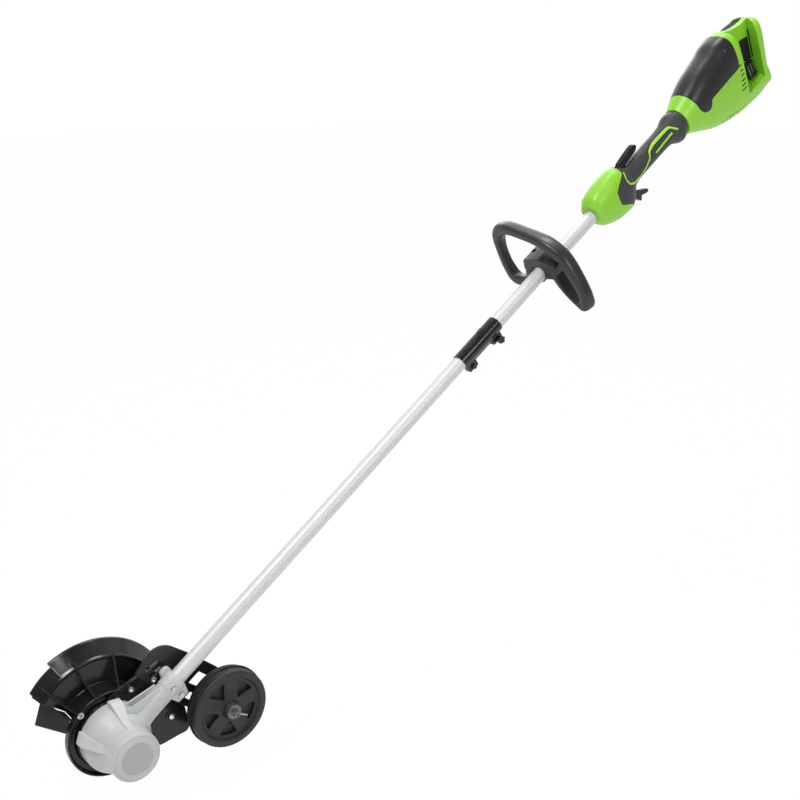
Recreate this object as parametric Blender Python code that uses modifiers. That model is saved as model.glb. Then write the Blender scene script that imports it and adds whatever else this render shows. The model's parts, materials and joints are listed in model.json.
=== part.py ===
"""Cordless lawn edger, in metres and +Z up, with the origin at the middle of the rear grip.

Every piece is placed in the tool frame of the empty "tool_axis": X to the user's left, Z along the
shaft towards the grip, and -Y up across the shaft. Its zero is where the blade's axis meets the
shaft's axis. Helper functions take (x, up, along) in millimetres of that frame.
"""

import math

import bmesh
import bpy
from mathutils import Matrix, Vector

MM = 0.001
GAP = 0.3

# Working pose
SHAFT_SLOPE = math.radians(36)
GRIP_CENTRE = 1395

# Shaft
TUBE_R = 12.7
TUBE_WALL = 1.6
TUBE_START = 64
TUBE_JOINT = 864
TUBE_END = 1292
DRIVE_R = 3.5
BUSH_PLACES = (300, 1150)

# Head, about the blade's axis
CASE_R = 38
CASE_END_X = 61
CASE_BACK_X = -26.7
GEAR_NEAR = 15
GEAR_FAR = 24
CROWN_TEETH = 20
PINION_TEETH = 10
SPINDLE_R = 5
SPINDLE_BORE_R = 13
BLADE_X = -80
BLADE_LENGTH = 204
BLADE_WIDTH = 44
BLADE_THICK = 2.6
BLADE_REST = 84
HUB_R = 69
HUB_X = -27
RIDGE_R = 107
RIDGE_X = -70
RIM_R = 126
RIM_X = -96
STEP_R = 117
STEP_ANGLE = 85
PLATE_X = -62
GUARD_WALL = 3
GUARD_FRONT = 108
GUARD_REAR = -62
GUARD_RIBS = (100, 72, 40, 8)
PIVOT = (96, 14)
GUARD_SCREWS = ((64, 30), PIVOT, (75, -62))
MOUNT_TAB = (
    (30, 50), (60, 44), (100, 30), (112, 8), (104, -8), (104, -60), (84, -104), (75, -107), (62, -100),
    (30, -85), (30, -50),
)

# Guide wheel
WHEEL_ALONG = 141.5
WHEEL_UP = -98
WHEEL_R = 63.2
WHEEL_X = (-0.5, 32)
AXLE_R = 5
HUB_END = 38.5
PIN_X = 45
POCKET_ANGLE = 12
BRACKET_FACE = -23.5
BRACKET_THICK = 3.6

# Coupler and loop
COUPLER_START = 812
COUPLER_END = 912
COUPLER_R = 14.6
LOOP_ALONG = 1056
LOOP_LEAN = 0.24
LOOP_ROLL = math.radians(5.7)
LOOP_BLOCK = (-17, 19)
LOOP_BOLT_ALONG = 8
LOOP_BOLT_SIDES = (-28.5, 31)
LOOP_LID = ((-35.2, 2.05), (-35.2, 20.8), (-17, 25.2), (1, 28), (20, 25.6), (40, 21.6), (40, 2.05))
LOOP_SADDLE = (
    (-34, 1.65), (-34, -20), (-22, -24), (-5, -20.5), (3, -15.8), (9.5, -12.5), (15.2, -5.5), (36, -1.5),
    (38, 1.65),
)

LOOP_BLOCK_PLACE = ((12, 1.65), (12, 14), (45, 14), (45, 1.65))
LOOP_MOUTH_ANGLES = [2 * math.pi * (i + 0.5) / 24 for i in range(24)]

# The loop's bar, from under the shaft round to its other side: outer and inner edge, then half depth
LOOP_BAR = (
    (-29, -20, -29, -4, 10.5), (-50, -39, -49, -20, 10.5), (-75.8, -42.4, -71.6, -23.2, 10.8),
    (-92.6, -33.4, -80.8, -18.1, 11),
    (-100.2, -19.2, -85, -11.8, 10.8), (-106.8, -0.3, -91.2, 3.5, 10), (-110.4, 24, -94.4, 25, 10),
    (-110.8, 45.1, -93, 42.9, 11), (-108, 61.7, -89, 51.3, 11.7), (-96.2, 76.7, -82.8, 56.9, 12.2),
    (-78.7, 81.9, -75.3, 60.1, 12.7), (-58.9, 81.1, -61.1, 61.7, 13), (-26.2, 73.9, -29.8, 56.7, 13.5),
    (-0.1, 68.3, -4.9, 50.9, 13.7), (28.8, 59.6, 20, 41.6, 14.4), (55.9, 42.4, 42.5, 26.8, 14.2),
    (72, 22, 55.4, 12, 13.6), (84.3, -6.8, 67.5, -13.4, 13.2), (91.9, -32.2, 75.7, -36.8, 13),
    (93.6, -50, 77.8, -48.5, 13.6), (93.2, -58.5, 77.4, -52.6, 14), (90, -67, 76.3, -54.2, 14.4),
    (82, -69.5, 74.2, -54.4, 14.4), (73.4, -65.2, 70, -52.4, 13.6), (50.8, -47, 55.5, -38.8, 13),
    (37.2, -32.5, 46, -25.6, 13), (28.6, -21, 39.8, -12, 13), (22, -10, 37, 0, 13),
)

# Grip
GRIP_END = 1464
GRIP_R = 20
GRIP_WALL = 3
TRIGGER_PIN = (0, -32, 1301)
LOCKOUT_PIN = (0, 26, 1299)
COLLAR_R = 25

GRIP_OUTLINE = (
    (1500, 60), (1290, 60), (1286, 30), (1273, 25), (1260, 19), (1251, 13), (1249, 1), (1249, -12),
    (1262, -22), (1276, -31.5), (1284, -70), (1500, -70),
)

# Motor housing
HOUSING_START = 1474
WALL = 3
MOTOR_ALONG = 1560
MOTOR_R = 27
BAY_WALL_X = 8
BAY_FLOOR = -59
LATCH_PIN = (-13.75, 47, 1682)
SIDE_VENTS = (
    (5.5, 1637, 1645), (-4.6, 1635, 1645), (-13.8, 1633, 1644), (-23.4, 1630, 1643), (-31.9, 1627, 1641),
    (-40.4, 1623, 1640),
)
COVER_OUTLINE = (
    (1497, 110), (1503, 28), (1505, 17), (1506, 3), (1515, -9), (1531, -12), (1541, 3), (1637, 5),
    (1640, 25), (1644, 54), (1642, 68), (1636, 110),
)

PLASTIC_GREEN = (0.33, 0.63, 0.03)
PLASTIC_DARK = (0.06, 0.06, 0.065)
PLASTIC_BLACK = (0.02, 0.02, 0.02)
CAST_GREY = (0.72, 0.73, 0.73)
ALUMINIUM = (0.8, 0.81, 0.82)
STEEL = (0.55, 0.55, 0.56)
BLACK_STEEL = (0.03, 0.03, 0.03)
RUBBER = (0.03, 0.03, 0.03)
NYLON = (0.8, 0.8, 0.76)
COPPER = (0.6, 0.28, 0.14)
BOARD = (0.02, 0.2, 0.08)


def clear_scene():
    for obj in list(bpy.data.objects):
        bpy.data.objects.remove(obj, do_unlink=True)


def tool(x, up, along):
    """A point of the tool frame, in metres of the empty's own axes."""
    return Vector((x, -up, along)) * MM


def material(name, colour, roughness, metallic=0.0):
    found = bpy.data.materials.get(name)
    if found:
        return found
    made = bpy.data.materials.new(name)
    made.use_nodes = True
    shader = made.node_tree.nodes["Principled BSDF"]
    shader.inputs["Base Color"].default_value = (*colour, 1)
    shader.inputs["Roughness"].default_value = roughness
    shader.inputs["Metallic"].default_value = metallic
    made.diffuse_color = (*colour, 1)
    return made


GREEN = ("green_plastic", PLASTIC_GREEN, 0.4)
DARK = ("dark_plastic", PLASTIC_DARK, 0.5)
BLACK = ("black_plastic", PLASTIC_BLACK, 0.45)
CAST = ("cast_alloy", CAST_GREY, 0.5, 0.3)
SATIN = ("satin_aluminium", ALUMINIUM, 0.35, 1.0)
BRIGHT = ("bright_steel", STEEL, 0.25, 1.0)
PAINTED = ("painted_steel", BLACK_STEEL, 0.4, 0.3)
SOFT = ("black_rubber", RUBBER, 0.8)
WHITE = ("nylon", NYLON, 0.5)
WINDING = ("copper_winding", COPPER, 0.4, 0.8)
CIRCUIT = ("circuit_board", BOARD, 0.4)


def collections():
    """The object's collection, and one for cutters that the render leaves out."""
    scene = bpy.context.scene.collection
    parts = bpy.data.collections.new("lawn_edger")
    cutters = bpy.data.collections.new("cutters")
    scene.children.link(parts)
    scene.children.link(cutters)
    cutters.hide_render = True
    return parts, cutters


clear_scene()
PARTS, CUTTERS = collections()
TOOL_AXIS = bpy.data.objects.new("tool_axis", None)
PARTS.objects.link(TOOL_AXIS)
TOOL_AXIS.rotation_euler = (SHAFT_SLOPE - math.pi / 2, 0, 0)
TOOL_AXIS.location = -(Matrix.Rotation(SHAFT_SLOPE - math.pi / 2, 3, "X") @ tool(0, 0, GRIP_CENTRE))


def place(obj, pivot):
    """Parents an object to the tool axis and puts its origin at pivot, in millimetres (x, up, along)."""
    origin = tool(*pivot)
    obj.data.transform(Matrix.Translation(-origin))
    obj.parent = TOOL_AXIS
    obj.location = origin


def piece(name, mesh, finish, pivot=(0, 0, 0)):
    """A named node from a mesh that is already in tool-frame metres."""
    obj = bpy.data.objects.new(name, mesh)
    PARTS.objects.link(obj)
    place(obj, pivot)
    mesh.materials.append(material(*finish))
    mesh.shade_smooth()
    mesh.set_sharp_from_angle(angle=math.radians(35))
    return obj


def cutter(name, mesh):
    obj = bpy.data.objects.new(name, mesh)
    CUTTERS.objects.link(obj)
    obj.parent = TOOL_AXIS
    obj.hide_render = True
    obj.display_type = "WIRE"
    return obj


def boolean(obj, other, operation):
    """Adds an exact Boolean. Names of cutters end in what they cut, so that each is its own object."""
    modifier = obj.modifiers.new(other.name, "BOOLEAN")
    modifier.operation = operation
    modifier.object = other
    modifier.solver = "EXACT"


def cut(obj, mesh, name="cut"):
    boolean(obj, cutter(f"{name}_{obj.name}", mesh), "DIFFERENCE")


def keep(obj, mesh, name="keep"):
    boolean(obj, cutter(f"{name}_{obj.name}", mesh), "INTERSECT")


def join(obj, mesh, name="join"):
    boolean(obj, cutter(f"{name}_{obj.name}", mesh), "UNION")


def mesh_of(bm, name="shape"):
    bmesh.ops.recalc_face_normals(bm, faces=bm.faces)
    mesh = bpy.data.meshes.new(name)
    bm.to_mesh(mesh)
    bm.free()
    return mesh


def merged(*meshes):
    """One mesh that holds the given ones, for a cutter made of several apart."""
    bm = bmesh.new()
    for mesh in meshes:
        bm.from_mesh(mesh)
        bpy.data.meshes.remove(mesh)
    mesh = bpy.data.meshes.new("merged")
    bm.to_mesh(mesh)
    bm.free()
    return mesh


def box(x, up, along, bevel=0, turn=0, segments=1):
    """A box from three (low, high) pairs, turned about X by turn degrees round its middle."""
    bm = bmesh.new()
    size = [pair[1] - pair[0] for pair in (x, up, along)]
    middle = tool(*[(pair[0] + pair[1]) / 2 for pair in (x, up, along)])
    bmesh.ops.create_cube(bm, size=MM)
    bmesh.ops.scale(bm, vec=size, verts=bm.verts)
    if bevel:
        bmesh.ops.bevel(bm, geom=bm.edges, offset=bevel * MM, segments=segments, affect="EDGES", profile=0.5)
    bmesh.ops.rotate(bm, matrix=Matrix.Rotation(math.radians(turn), 3, "X"), verts=bm.verts)
    bmesh.ops.translate(bm, vec=middle, verts=bm.verts)
    return mesh_of(bm)


def rod(radius, start, end, segments=24, far_radius=None):
    """A cylinder or a cone between two points (x, up, along)."""
    bm = bmesh.new()
    first, last = tool(*start), tool(*end)
    span = last - first
    bmesh.ops.create_cone(
        bm,
        cap_ends=True,
        segments=segments,
        radius1=radius * MM,
        radius2=(radius if far_radius is None else far_radius) * MM,
        depth=span.length,
    )
    turn = Vector((0, 0, 1)).rotation_difference(span.normalized()).to_matrix()
    bmesh.ops.rotate(bm, matrix=turn, verts=bm.verts)
    bmesh.ops.translate(bm, vec=(first + last) / 2, verts=bm.verts)
    return mesh_of(bm)


def turned(profile, axis="along", centre=(0, 0, 0), steps=24):
    """A turned solid from (radius, height) points down its outer side, about a line along X or Z."""
    mesh = bpy.data.meshes.new("profile")
    points = [(radius * MM, 0, height * MM) for radius, height in profile]
    closed = profile[0][0] > 0 or profile[-1][0] > 0
    edges = [(i, i + 1) for i in range(len(points) - 1)]
    if closed:
        edges.append((len(points) - 1, 0))
    mesh.from_pydata(points, edges, [])
    obj = bpy.data.objects.new("turned", mesh)
    bpy.context.scene.collection.objects.link(obj)
    screw = obj.modifiers.new("Screw", "SCREW")
    screw.axis = "Z"
    screw.steps = steps
    screw.render_steps = steps
    screw.use_merge_vertices = True
    screw.merge_threshold = 0.00001
    graph = bpy.context.evaluated_depsgraph_get()
    solid = bpy.data.meshes.new_from_object(obj.evaluated_get(graph))
    bpy.data.objects.remove(obj, do_unlink=True)
    if axis == "x":
        solid.transform(Matrix.Rotation(math.pi / 2, 4, "Y"))
    solid.transform(Matrix.Translation(tool(*centre)))
    return solid


def ring(outer, inner, low, high, axis="along", centre=(0, 0, 0), steps=24):
    profile = [(inner, high), (outer, high), (outer, low), (inner, low)]
    return turned(profile, axis, centre, steps)


def plate(outlines, x):
    """A flat piece across X from outlines of (along, up) points, the first outside and the rest holes."""
    low, high = x
    curve = bpy.data.curves.new("outline", "CURVE")
    curve.dimensions = "2D"
    curve.fill_mode = "BOTH"
    curve.extrude = (high - low) / 2 * MM
    for outline in outlines:
        spline = curve.splines.new("POLY")
        spline.points.add(len(outline) - 1)
        spline.use_cyclic_u = True
        for point, (along, up) in zip(spline.points, outline):
            point.co = (along * MM, up * MM, 0, 1)
    mesh = solid_of_curve(curve)
    turn = Matrix(((0, 0, 1, 0), (0, -1, 0, 0), (1, 0, 0, 0), (0, 0, 0, 1)))
    mesh.transform(turn)
    mesh.transform(Matrix.Translation(tool((low + high) / 2, 0, 0)))
    return mesh


def solid_of_curve(curve):
    """The welded mesh of a filled curve."""
    obj = bpy.data.objects.new("curve", curve)
    bpy.context.scene.collection.objects.link(obj)
    graph = bpy.context.evaluated_depsgraph_get()
    mesh = bpy.data.meshes.new_from_object(obj.evaluated_get(graph))
    bpy.data.objects.remove(obj, do_unlink=True)
    bm = bmesh.new()
    bm.from_mesh(mesh)
    bmesh.ops.remove_doubles(bm, verts=bm.verts, dist=0.00001)
    bmesh.ops.recalc_face_normals(bm, faces=bm.faces)
    bm.to_mesh(mesh)
    bm.free()
    return mesh


def wire(points, radius, closed=False, resolution=2):
    """A round bar through points (x, up, along)."""
    curve = bpy.data.curves.new("wire", "CURVE")
    curve.dimensions = "3D"
    curve.bevel_depth = radius * MM
    curve.bevel_resolution = resolution
    curve.use_fill_caps = not closed
    spline = curve.splines.new("POLY")
    spline.points.add(len(points) - 1)
    spline.use_cyclic_u = closed
    for point, place_mm in zip(spline.points, points):
        point.co = (*tool(*place_mm), 1)
    return solid_of_curve(curve)


def loft(sections, flat_ends=False):
    """A closed solid through sections, each a loop of the same number of (x, up, along) points."""
    bm = bmesh.new()
    rows = [[bm.verts.new(tool(*point)) for point in section] for section in sections]
    count = len(rows[0])
    for first, second in zip(rows, rows[1:]):
        for i in range(count):
            after = (i + 1) % count
            bm.faces.new((first[i], first[after], second[after], second[i]))
    for row in (rows[0], rows[-1]):
        if flat_ends:
            bm.faces.new(row)
            continue
        middle = bm.verts.new(sum((vert.co for vert in row), Vector()) / count)
        for i in range(count):
            bm.faces.new((row[i], row[(i + 1) % count], middle))
    bmesh.ops.triangulate(bm, faces=bm.faces)
    return mesh_of(bm)


def oval(along, half_width, top, bottom, power=2.0, count=28, middle=0.0):
    """A superellipse across the shaft at one place along it."""
    centre = (top + bottom) / 2
    half_height = (top - bottom) / 2
    points = []
    for i in range(count):
        angle = 2 * math.pi * (i + 0.5) / count
        cosine = math.cos(angle)
        sine = math.sin(angle)
        x = math.copysign(abs(cosine) ** (2 / power), cosine) * half_width
        up = math.copysign(abs(sine) ** (2 / power), sine) * half_height
        points.append((middle + x, centre + up, along))
    return points


def arc(radius, first, last, count, centre=(0, 0)):
    """Points (along, up) on an arc, in degrees counted from along the shaft towards up."""
    angles = [math.radians(first + (last - first) * i / count) for i in range(count + 1)]
    return [(centre[0] + radius * math.cos(a), centre[1] + radius * math.sin(a)) for a in angles]


def half(side, along=(1100, 1800)):
    """A block that holds one side of the parting plane: 1 is the user's left, -1 the right."""
    x = (GAP / 2, 90) if side > 0 else (-90, -GAP / 2)
    return box(x, (-200, 200), along)


# Shaft tubes and the drive through them


def build_shaft():
    tube_in = TUBE_R - TUBE_WALL
    lower = piece("lower_tube", ring(TUBE_R, tube_in, TUBE_START, TUBE_JOINT - GAP), SATIN)
    cut(lower, rod(2.3, (5, 4, 106), (20, 4, 106), 12), "locating_hole")
    piece("upper_tube", ring(TUBE_R, tube_in, TUBE_JOINT, TUBE_END), SATIN)
    for i, along in enumerate(BUSH_PLACES, 1):
        piece(f"shaft_bush_{i}", ring(tube_in - GAP, DRIVE_R + GAP, along - 8, along + 8, steps=20), WHITE)
    piece("lower_drive_shaft", rod(DRIVE_R, (0, 0, 48), (0, 0, 858), 12), BRIGHT)
    piece("upper_drive_shaft", rod(DRIVE_R, (0, 0, 872), (0, 0, 1505), 12), BRIGHT)
    socket = piece("shaft_socket", rod(7, (0, 0, 846), (0, 0, 886), 16), BRIGHT)
    bores = merged(
        rod(DRIVE_R + GAP, (0, 0, 840), (0, 0, 858 + GAP), 12),
        rod(DRIVE_R + GAP, (0, 0, 872 - GAP), (0, 0, 900), 12),
    )
    cut(socket, bores)


def build_coupler():
    """The black sleeve that clamps the two tubes, with its slit, two lugs, knob and bolt."""
    tube = ring(COUPLER_R, TUBE_R + GAP, COUPLER_START, COUPLER_END, steps=24)
    sleeve = piece("coupler_sleeve", tube, BLACK)
    join(sleeve, box((-7, 7), (-26, -13.3), (884, 908), 2), "rear_lug")
    join(sleeve, box((-7, 7), (-27.5, -13.3), (817, 839), 2), "front_lug")
    join(sleeve, box((-4, 4), (-18, -13.2), (830, 890)), "rail")
    slit = box((-0.8, 0.8), (-30, -12), (800, 930))
    cut(sleeve, slit, "slit")
    bolt_holes = merged(
        rod(3.3, (-30, -20.5, 896), (30, -20.5, 896), 12),
        rod(2.8, (-30, -22, 828), (30, -22, 828), 12),
    )
    cut(sleeve, bolt_holes, "holes")
    release = box((-4, 4), (COUPLER_R - 1, COUPLER_R + 1.4), (872, 884), 0.4)
    join(sleeve, release, "button_boss")
    knob = piece("coupler_knob", rod(3, (-11, -20.5, 896), (18, -20.5, 896), 12), BLACK, (0, -20.5, 896))
    join(knob, rod(4.6, (7.4, -20.5, 896), (14, -20.5, 896), 16), "neck")
    join(knob, plate([lobed((896, -20.5), 7.2, 1.2, 5, 30)], (12.1, 18.5)), "lobes")
    piece("coupler_bolt", bolt((-9, -22, 828), (7.3, -22, 828), 2.5, 4.5, 3), BRIGHT)


def lobed(centre, radius, depth, lobes, count):
    """A round outline with lobes, for a hand knob."""
    points = []
    for i in range(count):
        angle = 2 * math.pi * i / count
        reach = radius - depth / 2 + depth / 2 * math.cos(lobes * angle)
        points.append((centre[0] + reach * math.cos(angle), centre[1] + reach * math.sin(angle)))
    return points


def bolt(start, end, radius, head_radius, head):
    """A bolt along X with its head on the user's left."""
    x0, up, along = start
    x1 = end[0]
    top = x1 + head
    profile = [(0, top), (head_radius, top), (head_radius, x1), (radius, x1), (radius, x0), (0, x0)]
    return turned(profile, "x", (0, up, along), 16)


# Bevel gear head


def bevel_gear(teeth, cone, phase):
    """A bevel gear about +Z with its cone's point at zero: rays from that point carry each tooth's form."""
    tip = math.radians(2.6)
    root = math.radians(3.4)
    pitch = 2 * math.pi / teeth
    pattern = ((-0.23, -root), (-0.13, tip), (0.13, tip), (0.23, -root))
    rays = []
    for tooth in range(teeth):
        for share, lift in pattern:
            rays.append(((tooth + share + phase) * pitch, cone + lift))
    bm = bmesh.new()
    rows = []
    for reach in (GEAR_NEAR, GEAR_FAR):
        row = []
        for angle, slope in rays:
            radius = reach * math.sin(slope)
            point = Vector((radius * math.cos(angle), radius * math.sin(angle), reach * math.cos(slope)))
            row.append(bm.verts.new(point * MM))
        rows.append(row)
    count = len(rays)
    for i in range(count):
        after = (i + 1) % count
        bm.faces.new((rows[0][i], rows[0][after], rows[1][after], rows[1][i]))
    front = bm.verts.new((0, 0, GEAR_NEAR * math.cos(cone) * MM))
    back = bm.verts.new((0, 0, GEAR_FAR * math.cos(cone) * MM))
    for i in range(count):
        after = (i + 1) % count
        bm.faces.new((rows[0][after], rows[0][i], front))
        bm.faces.new((rows[1][i], rows[1][after], back))
    return mesh_of(bm)


def build_gears():
    pinion_cone = math.atan(PINION_TEETH / CROWN_TEETH)
    crown_cone = math.pi / 2 - pinion_cone
    pinion_mesh = bevel_gear(PINION_TEETH, pinion_cone, 0.5)
    pinion = piece("pinion", pinion_mesh, BRIGHT)
    join(pinion, rod(6, (0, 0, 20), (0, 0, 57), 20), "shank")
    cut(pinion, rod(DRIVE_R + GAP, (0, 0, 48 - GAP), (0, 0, 60), 12), "socket")
    crown_mesh = bevel_gear(CROWN_TEETH, crown_cone, 0)
    crown_mesh.transform(Matrix.Rotation(math.pi / 2, 4, "Y"))
    crown = piece("crown_gear", crown_mesh, BRIGHT)
    join(crown, rod(10, (9, 0, 0), (18, 0, 0), 20), "hub")
    cut(crown, rod(SPINDLE_R + GAP, (-5, 0, 0), (30, 0, 0), 20), "bore")


def build_gear_case():
    """The cast case round the gears, its neck and the clamp that takes the tube."""
    outer = [
        (0, CASE_END_X), (CASE_R - 1.5, CASE_END_X), (CASE_R, CASE_END_X - 1.5), (CASE_R + 0.5, 32),
        (41, 22), (51, 0), (52.5, -6), (52.5, CASE_BACK_X), (0, CASE_BACK_X),
    ]
    case = piece("gear_case", turned(outer, "x", steps=28), CAST)
    neck = loft([
        oval(28, 26, 25, -22, 2.4, 20),
        oval(44, 18, 18.3, -17.2, 2.2, 20),
        oval(56, 16, 16.4, -15.9, 2.1, 20),
        oval(97, 15.8, 16.1, -15.8, 2.0, 20),
        oval(99, 16.9, 17.2, -17.2, 2.0, 20),
        oval(122, 16.9, 17.2, -17.2, 2.0, 20),
    ])
    join(case, neck, "neck")
    for number, angle in enumerate((52, 126), 1):
        join(case, case_rib(angle), f"rib_{number}")
    for number, x in enumerate(((6, 9), (-9, -6)), 1):
        join(case, plate([[(26, 34), (42, 33), (92, 17), (92, 8), (26, 8)]], x), f"fin_{number}")
    ear = plate([[(104, 10), (124, 10), (124, 19), (118, 23), (109, 22)]], (-14, -6))
    join(case, ear, "ear")
    lug = plate([[(92, -12), (122, -12), (117, -28), (97, -28)]], (-9, 9))
    join(case, lug, "lug")
    boss = rod(5.5, (12, 4, 106), (18, 4, 106), 16)
    join(case, boss, "boss")
    cavity = [
        (SPINDLE_BORE_R, 35), (34, 35), (34, 70), (0, 70), (0, -30), (45, -30), (45, -6), (33, 20),
        (SPINDLE_BORE_R, 20),
    ]
    cut(case, turned(cavity[::-1], "x", steps=24), "cavity")
    cut(case, rod(TUBE_R + GAP, (0, 0, TUBE_START - GAP), (0, 0, 140), 24), "tube_bore")
    cut(case, rod(11, (0, 0, 36), (0, 0, 70), 24), "bearing_bore")
    cut(case, rod(7.5, (0, 0, 5), (0, 0, 50), 20), "pinion_bore")
    cut(case, box((-0.8, 0.8), (-40, -8), (88, 140)), "slit")
    cut(case, rod(2.8, (-30, -21.5, 107), (30, -21.5, 107), 12), "clamp_hole")
    cut(case, rod(2.3, (5, 4, 106), (30, 4, 106), 12), "locating_hole")
    piece("gear_case_cap", cap_mesh(), CAST)
    bore = SPINDLE_BORE_R
    plate_profile = [(bore, -12.5), (44.7, -12.5), (44.7, -24), (42, -26.4), (bore, -26.4)]
    piece("bearing_plate", turned(plate_profile, "x", steps=24), CAST)
    bearing_out = SPINDLE_BORE_R - GAP
    piece("spindle_bearing_inner", ring(bearing_out, SPINDLE_R + GAP, -24, -15, "x", steps=16), BRIGHT)
    piece("spindle_bearing_outer", ring(bearing_out, SPINDLE_R + GAP, 22, 32, "x", steps=16), BRIGHT)
    piece("pinion_bearing", ring(11 - GAP, 6 + GAP, 51, 62, steps=16), BRIGHT)
    piece("clamp_bolt", bolt((-9, -21.5, 107), (9.3, -21.5, 107), 2.5, 4.5, 3), BRIGHT)
    piece("locating_screw", bolt((10.2, 4, 106), (18.3, 4, 106), 2, 4.2, 2.2), BRIGHT)


def case_rib(angle):
    """One of the raised ribs that run over the cone of the case."""
    bm = bmesh.new()
    points = [(34, 34), (41, 30), (58, -2), (59.5, -8), (59.5, -20), (34, -22)]
    rows = []
    for offset in (-9, 9):
        rows.append([bm.verts.new(Vector((x, offset, radius)) * MM) for radius, x in points])
    count = len(points)
    for i in range(count):
        after = (i + 1) % count
        bm.faces.new((rows[0][i], rows[0][after], rows[1][after], rows[1][i]))
    bm.faces.new(rows[0])
    bm.faces.new(rows[1])
    bmesh.ops.rotate(bm, matrix=Matrix.Rotation(math.radians(angle), 3, "X"), verts=bm.verts)
    return mesh_of(bm)


def cap_mesh():
    profile = [(0, 60), (29, 60), (30, 61), (33.5, 61), (33.5, 54), (0, 54)]
    return turned(profile, "x", steps=32)


def build_spindle():
    """The spindle with the blade and what clamps it."""
    spindle = [
        (0, 40), (SPINDLE_R, 40), (SPINDLE_R, -26.5), (9, -27), (9, -71), (SPINDLE_R, -71.3),
        (SPINDLE_R, -98), (0, -98),
    ]
    piece("blade_spindle", turned(spindle, "x", steps=24), BRIGHT)
    bore = SPINDLE_R + GAP
    flange_near = BLADE_X + BLADE_THICK / 2 + GAP
    flange_far = BLADE_X - BLADE_THICK / 2 - GAP
    piece("inner_flange", ring(22, bore, flange_near, flange_near + 5, "x", steps=20), BRIGHT)
    piece("outer_flange", ring(20, bore, flange_far - 4, flange_far, "x", steps=20), BRIGHT)
    nut = piece("blade_nut", rod(9, (flange_far - 12, 0, 0), (flange_far - 4 - GAP, 0, 0), 6), BRIGHT)
    cut(nut, rod(bore, (-120, 0, 0), (-60, 0, 0), 16), "bore")
    blade_outline = blade_points()
    hole = arc(bore, 0, 345, 23)
    blade_x = (BLADE_X - BLADE_THICK / 2, BLADE_X + BLADE_THICK / 2)
    piece("edger_blade", plate([blade_outline, hole], blade_x), BRIGHT)


def blade_points():
    """A straight bar blade with sheared ends, at rest where the guard covers it."""
    reach = BLADE_LENGTH / 2
    side = BLADE_WIDTH / 2
    end = [(reach - 14, -side), (reach, -side + 14), (reach, side)]
    bar = end + [(-forward, -up) for forward, up in end]
    turn = Matrix.Rotation(math.radians(BLADE_REST), 2)
    return [tuple(turn @ Vector(point)) for point in bar]


# Guard and its flap


def guard_profile(rim):
    """The guard's wall, from the hub face out over the drum, the back plate, the ridge and the band."""
    wall = GUARD_WALL
    return [
        (12, HUB_X), (54, HUB_X), (56, HUB_X - 8), (64.5, HUB_X - 8), (66, HUB_X), (HUB_R, HUB_X),
        (HUB_R, PLATE_X), (RIDGE_R - 4, PLATE_X - 4), (RIDGE_R, PLATE_X - 3), (RIDGE_R + 2, RIDGE_X + 1),
        (rim, RIM_X + 4), (rim, RIM_X), (rim - wall, RIM_X), (rim - wall - 0.5, RIM_X + 4),
        (RIDGE_R - 1, RIDGE_X), (HUB_R - wall, PLATE_X - wall), (HUB_R - wall, HUB_X - 11), (12, HUB_X - 11),
    ]


def sector(first, last, inner, outer, x):
    """A flat sector between two angles and two radii."""
    return plate([arc(outer, first, last, 16) + arc(inner, last, first, 16)], x)


def build_guard():
    """The guard, whose band steps down to a smaller rim near its front edge."""
    guard = piece("blade_guard", turned(guard_profile(RIM_R), "x", steps=40), BLACK)
    cut(guard, sector(STEP_ANGLE, 130, RIDGE_R + 3, 150, (-120, -40)), "step")
    low_band = [
        (RIDGE_R - 2, RIDGE_X + 1), (RIDGE_R + 2.5, RIDGE_X + 1.5), (STEP_R, RIM_X + 4),
        (STEP_R, RIM_X + 0.5), (STEP_R - GUARD_WALL, RIM_X + 0.5), (STEP_R - GUARD_WALL - 0.5, RIM_X + 4),
        (RIDGE_R + 0.5, RIDGE_X - 1),
    ]
    step_band = cutter("step_band", turned(low_band, "x", steps=40))
    step_sector = sector(STEP_ANGLE - 1, 130, 101, 150, (-120, -40))
    boolean(step_band, cutter("step_sector", step_sector), "INTERSECT")
    boolean(guard, step_band, "UNION")
    for angle in GUARD_RIBS:
        join(guard, guard_rib(angle), f"rib_{angle}")
    cut(guard, sector(GUARD_FRONT, 360 + GUARD_REAR, HUB_R + 0.4, 200, (-120, 0)), "open_side")
    cut(guard, sector(GUARD_FRONT, 360 + GUARD_REAR, 20, 200, (-120, HUB_X - 10.6)), "low_side")
    join(guard, plate([MOUNT_TAB], (HUB_X - 5.4, HUB_X - 0.4)), "tab")
    tab_holes = merged(*[rod(2.8, (-60, up, along), (0, up, along), 12) for along, up in GUARD_SCREWS])
    cut(guard, tab_holes, "screw_holes")
    cut(guard, rod(2.2, (-60, 64, -10), (0, 64, -10), 12), "rivet_hole")
    flap = [(RIM_X + 1, 90, -30.5), (HUB_X - 3, 71, -24), (HUB_X - 3, 61, -41), (RIM_X + 1, 67, -64)]
    piece("guard_flap", loft([flap, [(x - 1, up - 2.6, along - 1.2) for x, up, along in flap]]), SOFT)
    for i, (along, up) in enumerate(GUARD_SCREWS, 1):
        seat = BRACKET_FACE if i == 2 else HUB_X
        piece(f"guard_screw_{i}", bolt((-38, up, along), (seat + GAP, up, along), 2.4, 4.6, 4), BRIGHT)
    piece("guard_rivet", bolt((-43, 64, -10), (HUB_X + GAP, 64, -10), 1.9, 3.6, 1.6), BRIGHT)


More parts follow.
